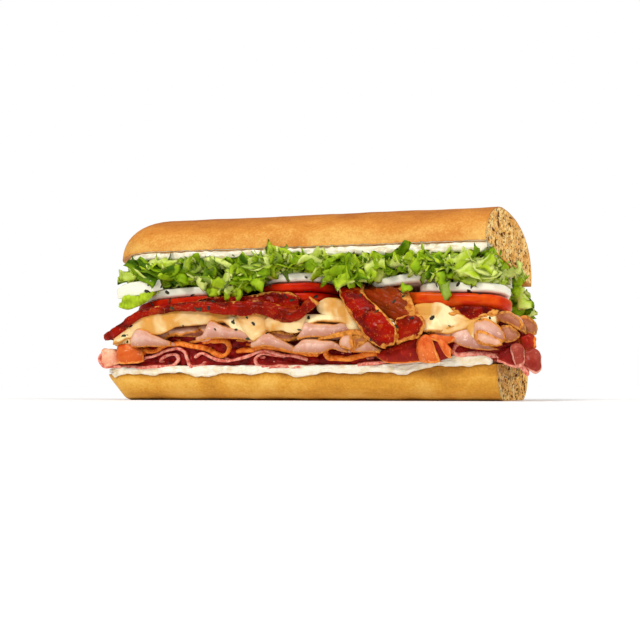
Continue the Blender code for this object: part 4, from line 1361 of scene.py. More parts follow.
@dataclass
class BaconStrips:
    """Crisp, rippled bacon: a long strip behind, and a short one from front to back under the right tomato.

    The long strip's rises say how far its edge curls up at even steps, and its hangs how far that edge hangs.
    """

    drawing: Drawing
    span: tuple[float, float] = (-96, 46)
    height: float = 42.6
    rises: tuple[float, ...] = (0.5, 1.5, 2.5, 1.5, 2.0, 1.0)
    hangs: tuple[float, ...] = (2.0, 3.0, 4.0, 3.5, 3.0, 2.0)
    ridge: float = 43.4
    inner: float = 20.0
    long_thickness: float = 1.8
    short_length: float = 35.5
    short_half_width: float = 12.0
    short_middle: float = 84.0
    short_thickness: float = 2.2

    def long_strip(self, seed: int) -> Skin:
        """The long strip: flat inside, curled up to a ridge and hanging from it.

        Args:
            seed: Seed of its ripples.

        Returns:
            The closed surface with its fat and singed values.
        """
        left, right = self.span
        run = stations(right - left, 0.7, 1.4)
        x, t = left + run, run / (right - left)
        low = self.height + 0 * x
        top = low + np.maximum(even_values(self.rises, t), 0.3) + 0.3 * np.sin(x / 4.2)
        hang = np.maximum(even_values(self.hangs, t), 1.5) * (1 + 0.08 * np.sin(x / 2.9))
        turned_in = -0.5 * (self.ridge - self.inner) - 4.0
        y = np.append(self.ridge + np.array([2.0, 1.8, 0.0, -3.2, -8.0, turned_in]), self.inner)
        z = np.stack([top - hang, top - 0.5 * hang, top, low + 0.55 * (top - low), low, low, low], axis=1)
        sway = 0.5 * np.sin(x / 6.1)
        corners = np.stack([np.broadcast_to(x[:, None], z.shape), y[None, :] + sway[:, None], z], axis=-1)
        fine = smooth_rows(corners, stations(1.0, 0.022, 0.05))
        crinkle = waves(fine[..., 0], fine[..., 1], 7.0, seed)
        fine[..., 2] += 0.35 * crinkle - self.drawing.droop(fine[..., 0])
        fine[..., 1] += 0.30 * waves(fine[..., 0], fine[..., 2], 6.0, seed + 1)
        grid = self.drawing.place(fine[..., 0], fine[..., 1], fine[..., 2])
        width = run_across(grid)
        side = np.minimum(width, width[:, -1:] - width)
        edge = np.minimum(side, np.minimum(run, right - left - run)[:, None])
        thick = self.long_thickness * (1 + 0.16 * waves(fine[..., 0], width, 9.0, seed + 2))
        streak = 0.55 * np.exp(-(((width - 9.0 - 1.5 * np.sin(fine[..., 0] / 9)) / 1.5) ** 2))
        fat = np.maximum(0.75 * (1 - smoothstep(side / 2.4)), streak)
        return closed_sheet(grid, rounded(edge, thick), {"fat": fat, "singed": 0.5 * fat})

    def short_strip(self) -> Skin:
        """The short strip, which ends in a frill at the front.

        Returns:
            The closed surface.
        """
        run = stations(self.short_length, 0.7, 1.2)
        v = stations(2 * self.short_half_width, 0.6, 1.2) - self.short_half_width
        y = (-43.5 + run)[:, None] + 0.6 * np.sin(v / 2.3)[None, :]
        x = self.short_middle + v[None, :] + 0.8 * np.sin(run / 3.3)[:, None]
        dip = 1.4 * smoothstep((-40.5 - y) / 2.5)
        z = 40.8 - 0.06 * (x - 72.0) + 0.25 * np.sin(y / 2.8) - dip + 0.3 * waves(x, y, 6.0, 330)
        ends = np.minimum(run, self.short_length - run)[:, None]
        edge = np.minimum(ends, (self.short_half_width - np.abs(v))[None, :])
        fat = 0.7 * (1 - smoothstep(np.broadcast_to(run[:, None], edge.shape) / 2.6)) + 0.1
        values = {"fat": fat, "singed": 0.6 * fat}
        return closed_sheet(self.drawing.place(x, y, z), rounded(edge, self.short_thickness), values)

    def build(self, bench: Bench) -> None:
        """Makes both strips."""
        bench.add("bacon_back_strip", self.long_strip(300), Finish.BACON, "bacon_back")
        bench.add("bacon_short_strip", self.short_strip(), Finish.BACON, "bacon_short")


@dataclass(frozen=True)
class Petal:
    """A face of a slice that shows at the front, laid out as the camera sees it.

    Each station gives the column and row of the face's first edge, those of its second edge, and the depth y.
    The face may go on back into the filling from its first edge, by tuck millimetres, and sink on the way.
    """

    name: str
    finish: Finish
    stations: tuple[Point, ...]
    nodes: tuple[str, ...] = ()
    bulge: float = 1.5
    tuck: float = 10.0
    sink: float = 1.5
    curl: float = 0.0
    thickness: float = 1.5
    crinkle: float = 0.25
    fat: tuple[float, float] = (0.8, 0.8)
    fat_width: float = 2.6
    tip_fat: float = 0.9
    singed: float = 0.0
    rim_scale: float = 1.0
    blush: float = 0.9


PETALS = (
    Petal("bacon_front", Finish.BACON, ((104, 336.5, 105, 340, -39), (112, 331, 114, 338, -41),
        (121, 325, 123, 331, -42.5), (131, 317, 133, 322.5, -43.5), (142, 311, 144, 316.5, -44),
        (154, 308.5, 155, 313.5, -44.3), (167, 306.5, 168, 311.5, -44.5), (180, 304.8, 181, 310, -44.8),
        (192, 303.2, 193, 310, -45), (205, 303, 205, 311, -45.2), (218, 303.4, 218, 313, -45.4),
        (232, 303, 232, 314.5, -45.6), (246, 302.4, 246, 315, -45.8), (258, 302, 258, 313.5, -45.8),
        (267, 303, 268, 315.5, -45.8), (276, 305.5, 277, 319.5, -46), (285, 309, 287, 321.5, -46.2),
        (294, 310.5, 297, 319.5, -46.4), (301, 307.5, 305, 314, -46.6), (306, 301, 311, 309, -46.8),
        (311, 296.5, 319, 301.5, -46.4)), ("bacon_front",), bulge=1.4, tuck=26, sink=4, curl=0.3,
        thickness=1.9, crinkle=0.2, fat=(0.7, 0.5), fat_width=2.4, singed=0.05),
    Petal("bacon_behind", Finish.BACON, ((197, 301, 197, 303.6, -41.4), (208, 298, 208, 304, -41.8),
        (221, 297.4, 221, 305, -41.8), (236, 297.4, 236, 305, -41), (252, 296, 252, 305, -40.6),
        (263, 293.4, 263, 306, -40.4), (275, 292.4, 276, 308, -40.4), (288, 293.6, 290, 311, -40.4),
        (299, 297, 300, 309, -40.4)), bulge=0.4, tuck=16, sink=2, curl=0.2, thickness=1.6, crinkle=0.35,
        fat=(0.66, 0), fat_width=2.2, tip_fat=0),
    Petal("bacon_lobe", Finish.BACON, ((340, 284, 365, 284, -34), (339.5, 291, 364.5, 293.5, -42.5),
        (344, 302, 374, 303, -46.2), (350, 313, 384, 312, -47.6), (358, 324, 392, 320.5, -48),
        (367, 335, 397, 329, -47.8), (377, 344, 397, 338, -47), (386, 346.5, 393, 343.5, -46)),
        ("bacon_fold",), bulge=2.2, tuck=0, thickness=2, crinkle=0.2, fat=(1, 0.9), fat_width=3.6),
    Petal("bacon_hood", Finish.BACON, ((361, 287, 409, 287, -30), (363, 291, 409, 291, -38.5),
        (371, 300, 412, 299, -41.6), (381, 309, 416, 307, -42.6), (390, 317, 420, 313, -42.8),
        (397, 324, 421, 318, -42.4)), ("bacon_hood",), bulge=2, tuck=0, thickness=2, crinkle=0.35,
        fat=(0.3, 1), fat_width=8.5, tip_fat=0.5, singed=0.6),
    Petal("bacon_under", Finish.BACON, ((452, 308.5, 452, 311, -41), (459, 306.6, 461, 315.6, -42),
        (470, 306.2, 470, 320, -42.6), (482, 306.4, 483, 319.6, -42.6), (492, 308, 491, 316, -42),
        (499, 310, 498, 313, -41)), ("bacon_short",), bulge=0.6, thickness=1.4, crinkle=0.25, fat=(0, 1),
        fat_width=4.5),
    Petal("bacon_flap", Finish.BACON, ((397, 318.5, 417, 312, -43.6), (396, 324, 423, 316.5, -45.4),
        (396, 331, 425.5, 323, -46), (396.5, 338, 423, 330, -46), (397.5, 343.5, 417, 336.5, -45)),
        ("bacon_flap",), bulge=2.4, tuck=0, thickness=2, crinkle=0.3, fat=(0.9, 1), fat_width=4.6,
        singed=0.1),
    Petal("onion_end", Finish.ONION, ((117.6, 291.5, 118.4, 299, -37), (121.5, 287.5, 123, 298.6, -38.6),
        (130, 284, 131.5, 296.8, -39.6), (140, 282, 142, 294.6, -40), (150, 281, 153, 291.6, -40),
        (160, 280, 163, 289, -39.6)), ("onion_1",), bulge=0.5, tuck=16, thickness=1.6, crinkle=0.05),
    Petal("lettuce_end", Finish.LEAF, ((118, 303.5, 118.6, 306.5, -39), (123, 299.5, 124, 309.4, -40.5),
        (130, 297, 131, 309, -41.2), (138, 295, 140, 305, -41.4), (146, 293, 148, 300.5, -41),
        (153, 290.6, 153, 295, -40.4)), ("lettuce",), bulge=0.2, tuck=6, thickness=0.8, crinkle=0.8),
    Petal("cheese_bulge", Finish.CHEESE, ((316.5, 306.4, 317, 309.6, -40), (321, 301.4, 322, 313.6, -41.4),
        (328, 298.6, 329, 316.6, -42.2), (336, 299, 338, 318.6, -42.6), (343, 302.4, 346, 319.6, -42.8),
        (348, 307, 351, 320, -42.6)), bulge=0.35, curl=0.2, crinkle=0.16, singed=0.5),
    Petal("cheese_tongue", Finish.CHEESE, ((344, 308, 346, 323, -42.8), (347, 307, 350.5, 329.5, -43.6),
        (350.5, 309, 356, 330.5, -44), (355, 315, 361, 330, -43.5)), bulge=0.8, tuck=8, crinkle=0.08, curl=1),
    Petal("cheese_curl", Finish.CHEESE, ((264, 325, 267, 331.5, -41), (266.5, 319, 270, 331, -43.2),
        (272, 316, 275, 330, -44.4), (281, 316, 283, 330, -44.6), (291, 316, 293, 332.5, -44.6),
        (300, 315, 301, 330, -44.2), (306, 314, 305, 323, -43)), bulge=1.6, crinkle=0.12, singed=0.6, curl=1),
    Petal("hollow_mouth", Finish.SMOKED, ((270, 331.6, 272, 335.5, -41.6), (277, 331, 280, 339.8, -42.4),
        (285, 332.4, 289, 340.4, -42.4), (293, 332.6, 297, 337, -41.6)), bulge=-0.8, tuck=8, crinkle=0.1,
        rim_scale=1.2, blush=1),
    Petal("cheese_side", Finish.CHEESE, ((113, 336, 114, 345.5, -37.5), (118, 330.5, 119, 346.5, -40),
        (125, 325, 126, 346, -41.4), (132, 321, 134, 342, -42.2), (140, 316, 143, 333, -42.8),
        (150, 313, 153, 334.5, -43.2), (160, 311, 161, 334, -43.4), (168, 310.5, 170, 330, -43.4),
        (176, 310, 177, 326.5, -43.2), (190, 310, 190, 325.5, -43), (205, 310.5, 206, 324, -43),
        (220, 311.5, 222, 322, -42.8), (233, 312.5, 236, 319.5, -42.2)), bulge=1, crinkle=0.15, singed=0.75,
        curl=1),
    Petal("cheese_point", Finish.CHEESE, ((236, 314, 238, 325, -43), (243, 313.5, 246, 333, -43.8),
        (250, 313.5, 253, 340.5, -44.2), (257, 313.5, 258, 338, -44.2), (264, 314, 264, 334, -43.6),
        (269, 315, 267.5, 329, -42.8)), bulge=0.9, tuck=8, crinkle=0.08, singed=0.9, curl=1),
    Petal("ham_face_1", Finish.HAM, ((131.5, 342, 132, 346.5, -42.6), (134, 334.5, 134, 347, -43.6),
        (137, 330.8, 137, 347.2, -44), (141, 330, 141, 347, -44.2), (147, 332.5, 147, 346.4, -44.2),
        (153, 336, 153, 346.4, -44), (159, 338.5, 160, 346.2, -43.6), (165, 341, 166, 345.6, -43),
        (171, 343.5, 171, 344.8, -42)), bulge=0.7, tuck=12, crinkle=0.07),
    Petal("ham_face_2", Finish.HAM, ((196, 338.5, 197, 340.5, -42.4), (203, 336, 203, 340, -43.6),
        (206, 331, 206, 339.4, -44), (208.5, 325, 208.5, 338.8, -44.2), (210.5, 321.5, 211, 338.4, -44.3),
        (215, 323, 215, 338.2, -44.4), (222, 326.5, 222, 338, -44.4), (230, 329, 230, 338.2, -44.3),
        (238, 330, 239, 338.6, -44), (244, 332.5, 245, 339.6, -43.6), (253, 340, 254, 341.6, -42.6)),
        bulge=0.6, tuck=12, crinkle=0.07),
    Petal("ham_face_3", Finish.HAM, ((251, 345, 252, 346.5, -42), (256, 340.5, 257, 346.4, -43),
        (261, 336.5, 262, 346.2, -43.6), (266, 334, 267, 345.8, -43.8), (271, 335, 272, 346, -43.7),
        (278, 338.8, 280, 348, -43.3), (286, 343, 288, 350, -42.8), (294, 348, 296, 351, -42)), bulge=0.6,
        tuck=12, crinkle=0.07),
    Petal("ham_face_4", Finish.HAM, ((293, 349.8, 294, 351.4, -42), (299, 344, 299, 352, -43.2),
        (303, 340.3, 303, 352.4, -43.8), (312, 339.8, 312, 353, -44), (322, 340.8, 322, 352.6, -43.8),
        (332, 341.6, 332, 348, -43.4), (340, 346, 341, 350, -42.8), (348, 349.4, 348, 351, -42)), bulge=0.6,
        tuck=12, crinkle=0.07),
    Petal("ham_face_5", Finish.HAM, ((297, 337.4, 298, 339, -42.4), (301, 333, 301, 338, -43.4),
        (304, 327, 304, 337.4, -43.8), (306, 323, 306.5, 336.8, -44), (313, 323.8, 313, 336.4, -44.2),
        (322, 324.4, 322, 336.2, -44.1), (332, 325, 333, 335, -43.9), (343, 324, 346, 332.6, -43.4),
        (349, 329, 352, 331.6, -42.8)), bulge=0.6, tuck=12, crinkle=0.07),
    Petal("ham_band", Finish.HAM, ((318, 337.2, 319, 338.8, -43.4), (328, 335.6, 328.5, 338, -44.2),
        (338, 333, 339, 336.2, -44.8), (348, 330.8, 349, 334.4, -45.2), (358, 330, 358, 333.8, -45.4),
        (366, 333, 365, 336.4, -45), (375, 340.6, 373.5, 343.4, -44)), bulge=0.2, tuck=6, crinkle=0.05,
        rim_scale=0.3),
    Petal("ham_fold", Finish.HAM, ((340, 343, 341, 346, -43.4), (343, 336.5, 345, 347.4, -44.6),
        (348, 334, 350.5, 348.6, -45.2), (352.6, 334, 354, 347, -45)), bulge=0.7, tuck=6, curl=0.2,
        crinkle=0.06, rim_scale=0.6, blush=0.3),
    Petal("ham_fold_inner", Finish.SMOKED, ((350.6, 338, 352, 349, -44), (356, 334.6, 356, 347.4, -44.8),
        (362, 334.4, 361, 344.6, -44.8), (368, 337, 367, 342, -44.2)), bulge=-0.6, tuck=6, crinkle=0.06,
        rim_scale=0.5, blush=0.6),
    Petal("ham_heel", Finish.HAM, ((354, 348.6, 355, 350.6, -42.6), (360, 346, 360, 351, -43.2),
        (368, 342, 368.5, 351.2, -43.4), (374, 346.6, 374, 351.2, -43), (380, 350, 380, 351.6, -42.2)),
        bulge=0.4, crinkle=0.07),
    Petal("capicola_inner_1", Finish.CAPICOLA, ((140, 352, 140, 364, -34.4), (160, 346, 160, 365, -35),
        (185, 345, 185, 366, -35.2), (215, 348, 215, 366.5, -35), (245, 349, 245, 366.5, -35.2),
        (275, 346, 275, 366, -35), (305, 352, 305, 365.5, -35.2), (335, 350, 335, 364.5, -35),
        (365, 350, 365, 363.5, -34.8), (385, 350, 385, 362, -34.4)), bulge=0.2, crinkle=0.5, rim_scale=30,
        blush=0),
    Petal("capicola_inner_2", Finish.CAPICOLA, ((438, 338, 438, 360, -36.4), (455, 338, 455, 359.5, -37),
        (475, 344, 475, 358.5, -37.2), (495, 344, 497, 358.5, -37), (508, 343, 510, 358, -36)), bulge=0.3,
        crinkle=0.3, rim_scale=30),
    Petal("salami_inner", Finish.CAPICOLA, ((125, 344, 125, 362, -35), (150, 344, 150, 356, -35.4),
        (180, 337, 180, 350, -35.4), (210, 337, 210, 352, -35), (240, 336, 240, 350, -35.4),
        (270, 338, 270, 350, -35), (300, 338, 300, 356, -35.4), (330, 340, 330, 352, -35),
        (360, 340, 360, 352, -35), (384, 342, 384, 352, -35)), bulge=0.2, crinkle=0.5, rim_scale=30, blush=0),
    Petal("ham_inner", Finish.SMOKED, ((165, 320, 165, 336, -36), (195, 318, 195, 337, -36.4),
        (225, 318, 225, 338, -36.6), (255, 318, 255, 340, -36.4), (285, 318, 285, 340, -36.6),
        (315, 318, 315, 342, -36.4), (345, 320, 345, 342, -36.4), (375, 326, 375, 344, -36)), bulge=0.2,
        crinkle=0.3, rim_scale=2),
    Petal("salami_block", Finish.RIND, ((117.5, 352, 118, 361.5, -38.5), (119, 346.5, 118.5, 363, -41),
        (124, 345, 123, 364, -42), (130, 345.6, 131, 363.6, -42), (136, 349, 138, 363, -41.5),
        (142, 354, 142.5, 361, -40.5)), bulge=0.6, crinkle=0.1, curl=1),
    Petal("fat_piece", Finish.FAT, ((100.5, 354, 100.5, 366, -35), (104, 350.5, 104, 367, -37.5),
        (109, 350, 109, 366.5, -39), (114, 351.5, 114, 365, -39.5), (118.5, 355, 119, 363.5, -39)), bulge=0.7,
        tuck=9, rim_scale=0.6, curl=1),
    Petal("salami_face", Finish.SALAMI, ((376, 352.6, 376, 355, -40.4), (386, 349.6, 387, 361.5, -41.2),
        (397, 346, 398, 362.5, -41.8), (408, 341, 409, 362, -42), (416, 337.5, 418, 361, -41.6),
        (422, 335, 424, 361, -41)), bulge=0.9, crinkle=0.1, rim_scale=3, curl=1),
    Petal("salami_roll", Finish.RIND, ((416.5, 343.5, 418.5, 355, -42.2), (419.5, 338.5, 422, 360.5, -44.4),
        (424.5, 335.4, 429, 362, -45.4), (428.6, 335.8, 435, 362, -45.2), (430.4, 337.5, 440, 360.5, -44.6)),
        bulge=0.9, tuck=5, crinkle=0.12, blush=0.5, curl=1),
    Petal("salami_slit", Finish.CAPICOLA, ((427, 336.4, 432, 360, -42), (434, 336, 440, 359.5, -42.4),
        (441, 337, 446, 357.5, -42.4), (448, 341, 451, 356, -42)), bulge=0.2, tuck=5, crinkle=0.1,
        rim_scale=30),
    Petal("salami_lip_low", Finish.RIND, ((438, 336.8, 439, 341, -43.6), (442, 339.6, 443.6, 349, -44.4),
        (446.4, 344.6, 447.6, 355.6, -44.4), (450.6, 350, 451.6, 357.6, -43.6)), bulge=0.5, tuck=6,
        crinkle=0.1, blush=0.4),
    Petal("salami_lip", Finish.RIND, ((427, 335.6, 428, 337.6, -43), (434, 334.8, 435, 339, -43.6),
        (442, 336, 441, 341.6, -43.4), (449, 337, 447, 342, -42.6), (456, 335.6, 455, 339, -41.6)), bulge=0.6,
        tuck=6, crinkle=0.1),
    Petal("ham_side_1", Finish.HAM, ((451, 332.6, 451, 338.5, -40.4), (456, 328.6, 458, 343, -41.4),
        (462, 325, 468, 346.6, -42), (467, 328.6, 479, 348.2, -42), (472, 335, 489, 349, -41.8),
        (480, 341, 499, 348.2, -41.2)), bulge=0.7, tuck=8, crinkle=0.08),
    Petal("ham_side_2", Finish.HAM, ((474.4, 327, 475, 336, -43), (476.6, 320.6, 478, 342.4, -44.2),
        (483.5, 319.2, 486, 344.4, -45), (491.5, 320.6, 495, 343.8, -44.8), (499, 326, 502, 341.6, -44),
        (504.6, 334.4, 505.6, 338.4, -42.6)), bulge=0.4, tuck=8, curl=0.2, crinkle=0.2, rim_scale=0.75,
        blush=1),
    Petal("ham_lip", Finish.HAM, ((476.6, 331, 477, 339, -45.2), (482, 330.6, 483, 342.8, -46.2),
        (489, 333.4, 490, 344.8, -46.4), (496, 337, 497, 345, -46), (502, 340, 502.6, 343.4, -45)), bulge=0.3,
        tuck=6, crinkle=0.12, rim_scale=0.8, blush=0),
    Petal("cheese_right", Finish.CHEESE, ((415, 306, 416, 317, -40.4), (421, 303.6, 423, 327, -41.4),
        (431, 303.4, 432, 331, -42.2), (440, 303.6, 441, 332.5, -42.6), (447, 306, 449, 333, -42.8),
        (455, 312, 457, 330.5, -43), (463, 316.6, 465, 328, -43), (471, 319, 472, 324, -42.6)), bulge=0.3,
        crinkle=0.15, singed=0.1),
    Petal("cheese_corner", Finish.CHEESE, ((464, 320, 465.5, 326, -42.4), (469, 319.6, 470.5, 333, -42.8),
        (474, 319, 476, 337.4, -43), (482, 317.6, 478.5, 326, -43), (490, 314.5, 490, 321.5, -42.6),
        (497, 312.6, 496, 324, -41.6)), bulge=0.6, tuck=8, crinkle=0.08, curl=1),
    Petal("ham_side_3", Finish.SMOKED, ((494.5, 321, 496.5, 327, -39), (497, 314.4, 500, 320.5, -40.4),
        (503, 311.4, 506, 322, -40.8), (510, 311.8, 513, 325.5, -40.4), (517, 317, 519, 329, -39.4),
        (524.5, 325.6, 525.6, 333, -37.2)), bulge=0.3, crinkle=0.22, rim_scale=1, curl=1),
    Petal("hollow_side", Finish.CAPICOLA, ((494, 319, 497, 345, -36.4), (503, 318, 506, 346, -36.4),
        (513, 320, 516, 346, -35.4), (522, 326, 524, 344, -33.4), (530, 332, 531, 342, -31)), bulge=0.2,
        tuck=8, crinkle=0.1, rim_scale=30),
    Petal("ham_side_4", Finish.SMOKED, ((500.5, 329.4, 502, 337, -40), (504, 326.2, 506, 341, -41.4),
        (509.5, 325.2, 511, 340.6, -41.8), (513, 328.6, 515, 339.4, -41.4), (516.4, 330.6, 518, 337.6, -40.8),
        (520, 334.6, 520, 336, -40)), bulge=0.1, tuck=8, crinkle=0.3, rim_scale=1.3),
    Petal("ham_side_5", Finish.SMOKED, ((518, 318.5, 521, 323, -33), (524, 315.5, 525, 330, -33.6),
        (530, 317, 530, 334.5, -33.4), (534.5, 322, 534, 334, -32), (536, 329, 535, 333, -30)), bulge=0.4,
        rim_scale=0.7, curl=1),
    Petal("salami_side", Finish.SALAMI, ((518.5, 342, 522, 347, -34), (521, 337.5, 524.5, 350, -34.8),
        (526, 334.6, 529, 351, -35), (531.5, 335, 533.5, 350, -34.4), (535.6, 339, 536, 345, -33)), bulge=1,
        tuck=12, rim_scale=1.8),
    Petal("capicola_fan_1", Finish.CAPICOLA, ((496.5, 356, 497, 360, -39.4), (502, 351, 504, 362.6, -40),
        (508, 348, 511, 365.4, -39.8), (514, 346, 518, 367, -38)), bulge=-0.8, rim_scale=2),
    Petal("capicola_fan_2", Finish.CURED, ((511, 347.5, 516, 366.4, -38.6), (515, 343.6, 520, 366, -40.2),
        (520, 344.6, 523.5, 363, -39.4), (523.6, 350, 525.5, 359, -37.2)), bulge=0.7, rim_scale=0.7),
    Petal("capicola_fan_3", Finish.CURED, ((522, 353, 522, 364.6, -36), (526.5, 351, 528, 368.4, -36.8),
        (532.5, 349.6, 535, 372.6, -36.4), (538, 351, 539.4, 369.6, -35), (541, 357, 541, 363, -33)),
        bulge=0.6, rim_scale=0.9),
)


@dataclass
class Petals:
    """The faces that show at the front and the cut end."""

    drawing: Drawing
    step: float = 0.55
    cut_end_columns: tuple[float, float] = (450.0, 500.0)
    cut_end_slant: float = -0.40
    covered: float = 5.0
    fade: float = 10.0

    def surface(self, petal: Petal, seed: int) -> Skin:
        """A sheet between two edges, bulging towards the viewer between them, with both ends curled back.

        Args:
            petal: The face.
            seed: Seed of its crinkles.

        Returns:
            The closed surface with the values that the finishes read.
        """
        dense = smooth_line(np.array(petal.stations, float), 240)
        middle = (dense[:, 0:2] + dense[:, 2:4]) / 2
        spine = self.drawing.seen(middle[:, 0], middle[:, 1], dense[:, 4])
        along = np.concatenate([[0], np.cumsum(np.linalg.norm(np.diff(spine, axis=0), axis=1))])
        run = stations(along[-1], self.step, 1.0)
        rows = np.stack([np.interp(run, along, dense[:, k]) for k in range(5)], axis=1)
        first = self.drawing.seen(rows[:, 0], rows[:, 1], rows[:, 4])
        second = self.drawing.seen(rows[:, 2], rows[:, 3], rows[:, 4])
        share = run / along[-1]
        bend = 2.0 * petal.curl * np.abs(2 * share - 1) ** 4
        parts = (0.0, 0.25, 0.5, 0.75, 1.0)
        columns = [first + (second - first) * v for v in parts]
        for column, v in zip(columns, parts):
            column[:, 1] += bend - petal.bulge * math.sin(math.pi * v) ** 0.8
        if petal.tuck > 0:
            near, far = self.cut_end_columns
            aside = self.cut_end_slant * petal.tuck * smoothstep((rows[:, 0] - near) / (far - near))
            back = np.stack([aside, petal.tuck + 0 * aside, -petal.sink + 0 * aside], axis=1)
            columns = [columns[0] + back, columns[0] + 0.4 * back] + columns
        at = stations(1.0, 0.022, 0.04)
        grid = smooth_rows(np.stack(columns, axis=1), at)
        width = run_across(grid)
        crinkle = waves(run[:, None], width, 7.0, seed) + 0.5 * waves(run[:, None], width, 3.2, seed + 1)
        grid = grid + grid_normals(grid) * (petal.crinkle * crinkle)[..., None]
        side = np.minimum(width, width[:, -1:] - width)
        tip = np.minimum(run, along[-1] - run)[:, None]
        edge = np.minimum(side, tip)
        start = width[:, np.argmin(np.abs(at - 1 / 3))][:, None] if petal.tuck > 0 else 0.0
        reach = petal.fat_width * (1 + 0.3 * waves(run, 0 * run, 9.0, seed + 2))[:, None]
        fat = petal.fat[0] * (1 - smoothstep(np.abs(width - start) / reach))
        fat = np.maximum(fat, petal.fat[1] * (1 - smoothstep((width[:, -1:] - width) / reach)))
        fat = np.maximum(fat, petal.tip_fat * (1 - smoothstep(tip / reach)))
        across = (width - start) / np.maximum(width[:, -1:] - start, 0.1)
        # Painted shade across the face: none at the first edge and the first end, full towards the second
        # edge and the far end.
        blush = petal.blush * smoothstep(0.45 * share[:, None] + 0.75 * across - 0.1)
        thick = petal.thickness * (1 + 0.12 * waves(run[:, None], width, 8.0, seed + 3))
        rim = edge * petal.rim_scale
        if petal.tuck > 0:
            rim = np.where(width < start, self.covered, rim)
        if petal.finish in (Finish.HAM, Finish.SMOKED):
            rim = np.minimum(rim, np.abs(width - start) * 1.6 * petal.rim_scale)
        # On cheese this value fades away from the first edge: painted shade under what lies over it. On bacon
        # it stays even, browning from frying.
        fade = 1 - smoothstep((width - start) / self.fade) if petal.finish is Finish.CHEESE else 1.0
        shade = 0.5 + 0.06 * np.sin(2.6 * run[:, None] + 1.5 * across)
        values = {"edge": rim, "fat": fat, "singed": petal.singed * fade + 0 * fat, "blush": blush,
                  "ring": 0.8 + 0 * fat, "shade": shade}
        return closed_sheet(grid, rounded(edge, thick), values)

    def build(self, bench: Bench) -> None:
        """Makes every face."""
        for seed, petal in enumerate(PETALS):
            bench.add(f"{petal.name}_face", self.surface(petal, 600 + 5 * seed), petal.finish, *petal.nodes)


@dataclass(frozen=True)
class InnerFold:
    """A slice deeper in the filling: its level, the height and length of its waves, and where it starts."""

    finish: Finish
    level: float
    rise: float
    length: float
    phase: float
    front: float = -34.5


INNER_FOLDS = (
    InnerFold(Finish.CAPICOLA, 19.6, 1.1, 21.0, 0.4, -35.0),
    InnerFold(Finish.CAPICOLA, 21.8, 1.3, 27.0, 2.1),
    InnerFold(Finish.SALAMI, 24.3, 1.3, 24.0, 4.0),
    InnerFold(Finish.SALAMI, 26.8, 1.2, 31.0, 1.2, -35.0),
    InnerFold(Finish.HAM, 29.6, 1.0, 26.0, 5.0, -36.0),
    InnerFold(Finish.HAM, 31.9, 0.8, 37.0, 3.1),
)


@dataclass
class InnerFolds:
    """Wavy slices set back in the pile, which close the gaps between those at the front."""

    drawing: Drawing
    left: float = -88.0
    right: float = 99.0
    back: float = 33.0
    rim: float = 1.2
    thickness: float = 1.5

    def surface(self, fold: InnerFold, seed: int) -> Skin:
        """A wavy sheet: its height is the level plus a sine along the roll with a slow wander.

        Args:
            fold: The slice.
            seed: Seed of its wander.

        Returns:
            The closed surface with each point's distance from the rim.
        """
        run = stations(self.right - self.left, 1.2, self.rim)[:, None]
        deep = stations(self.back - fold.front, 3.0, self.rim)[None, :]
        x = self.left + run + 0 * deep
        ripple = 1.2 * waves(run, 0 * run, 9.0, seed)
        y = fold.front + deep + ripple * smoothstep((6.0 - deep) / 6.0)
        z = fold.level + fold.rise * np.sin(math.tau * x / fold.length + fold.phase)
        z = z + 0.5 * waves(x, y, 40.0, seed + 1)
        edge = np.minimum(np.minimum(run, run[-1] - run), np.minimum(deep, deep[:, -1:] - deep))
        return closed_sheet(self.drawing.place(x, y, z), rounded(edge, self.thickness), {"edge": edge})

    def build(self, bench: Bench) -> None:
        """Makes every inner slice."""
        for seed, fold in enumerate(INNER_FOLDS):
            bench.add(f"inner_fold_{seed + 1}", self.surface(fold, 800 + 3 * seed), fold.finish)


@dataclass(frozen=True)
class Oval:
    """A round slice that lies tilted: centre, half sizes, height of its underside, thickness and slope."""

    node: str
    finish: Finish
    centre: float
    half_x: float
    half_y: float
    height: float
    thickness: float
    slope: float
    right_squareness: float = 0.62
    trim: float = 0.0


OVALS = (
    Oval("tomato_1", Finish.TOMATO, -54.0, 36.0, 38.4, 45.5, 5.0, 0.055),
    Oval("tomato_2", Finish.TOMATO, -2.5, 26.5, 38.4, 47.2, 4.2, 0.000),
    Oval("tomato_3", Finish.ORANGE_TOMATO, 73.5, 30.0, 39.5, 43.4, 6.2, -0.045, 0.30, 0.36),
    Oval("tomato_4", Finish.TOMATO, 0.6, 22.4, 38.0, 51.8, 4.2, 0.010),
    Oval("onion_1", Finish.ONION, -84.0, 11.0, 31.0, 52.0, 4.4, 0.050),
    Oval("onion_2", Finish.ONION, -57.0, 26.2, 38.0, 50.9, 4.2, 0.055),
    Oval("onion_3", Finish.ONION, 1.0, 21.0, 37.5, 56.9, 4.2, 0.000),
    Oval("onion_4", Finish.ONION, 54.0, 19.5, 38.4, 54.3, 4.2, 0.120),
    Oval("onion_5", Finish.ONION, 80.5, 23.0, 38.0, 50.1, 4.4, -0.025, 0.32, 0.36),
)


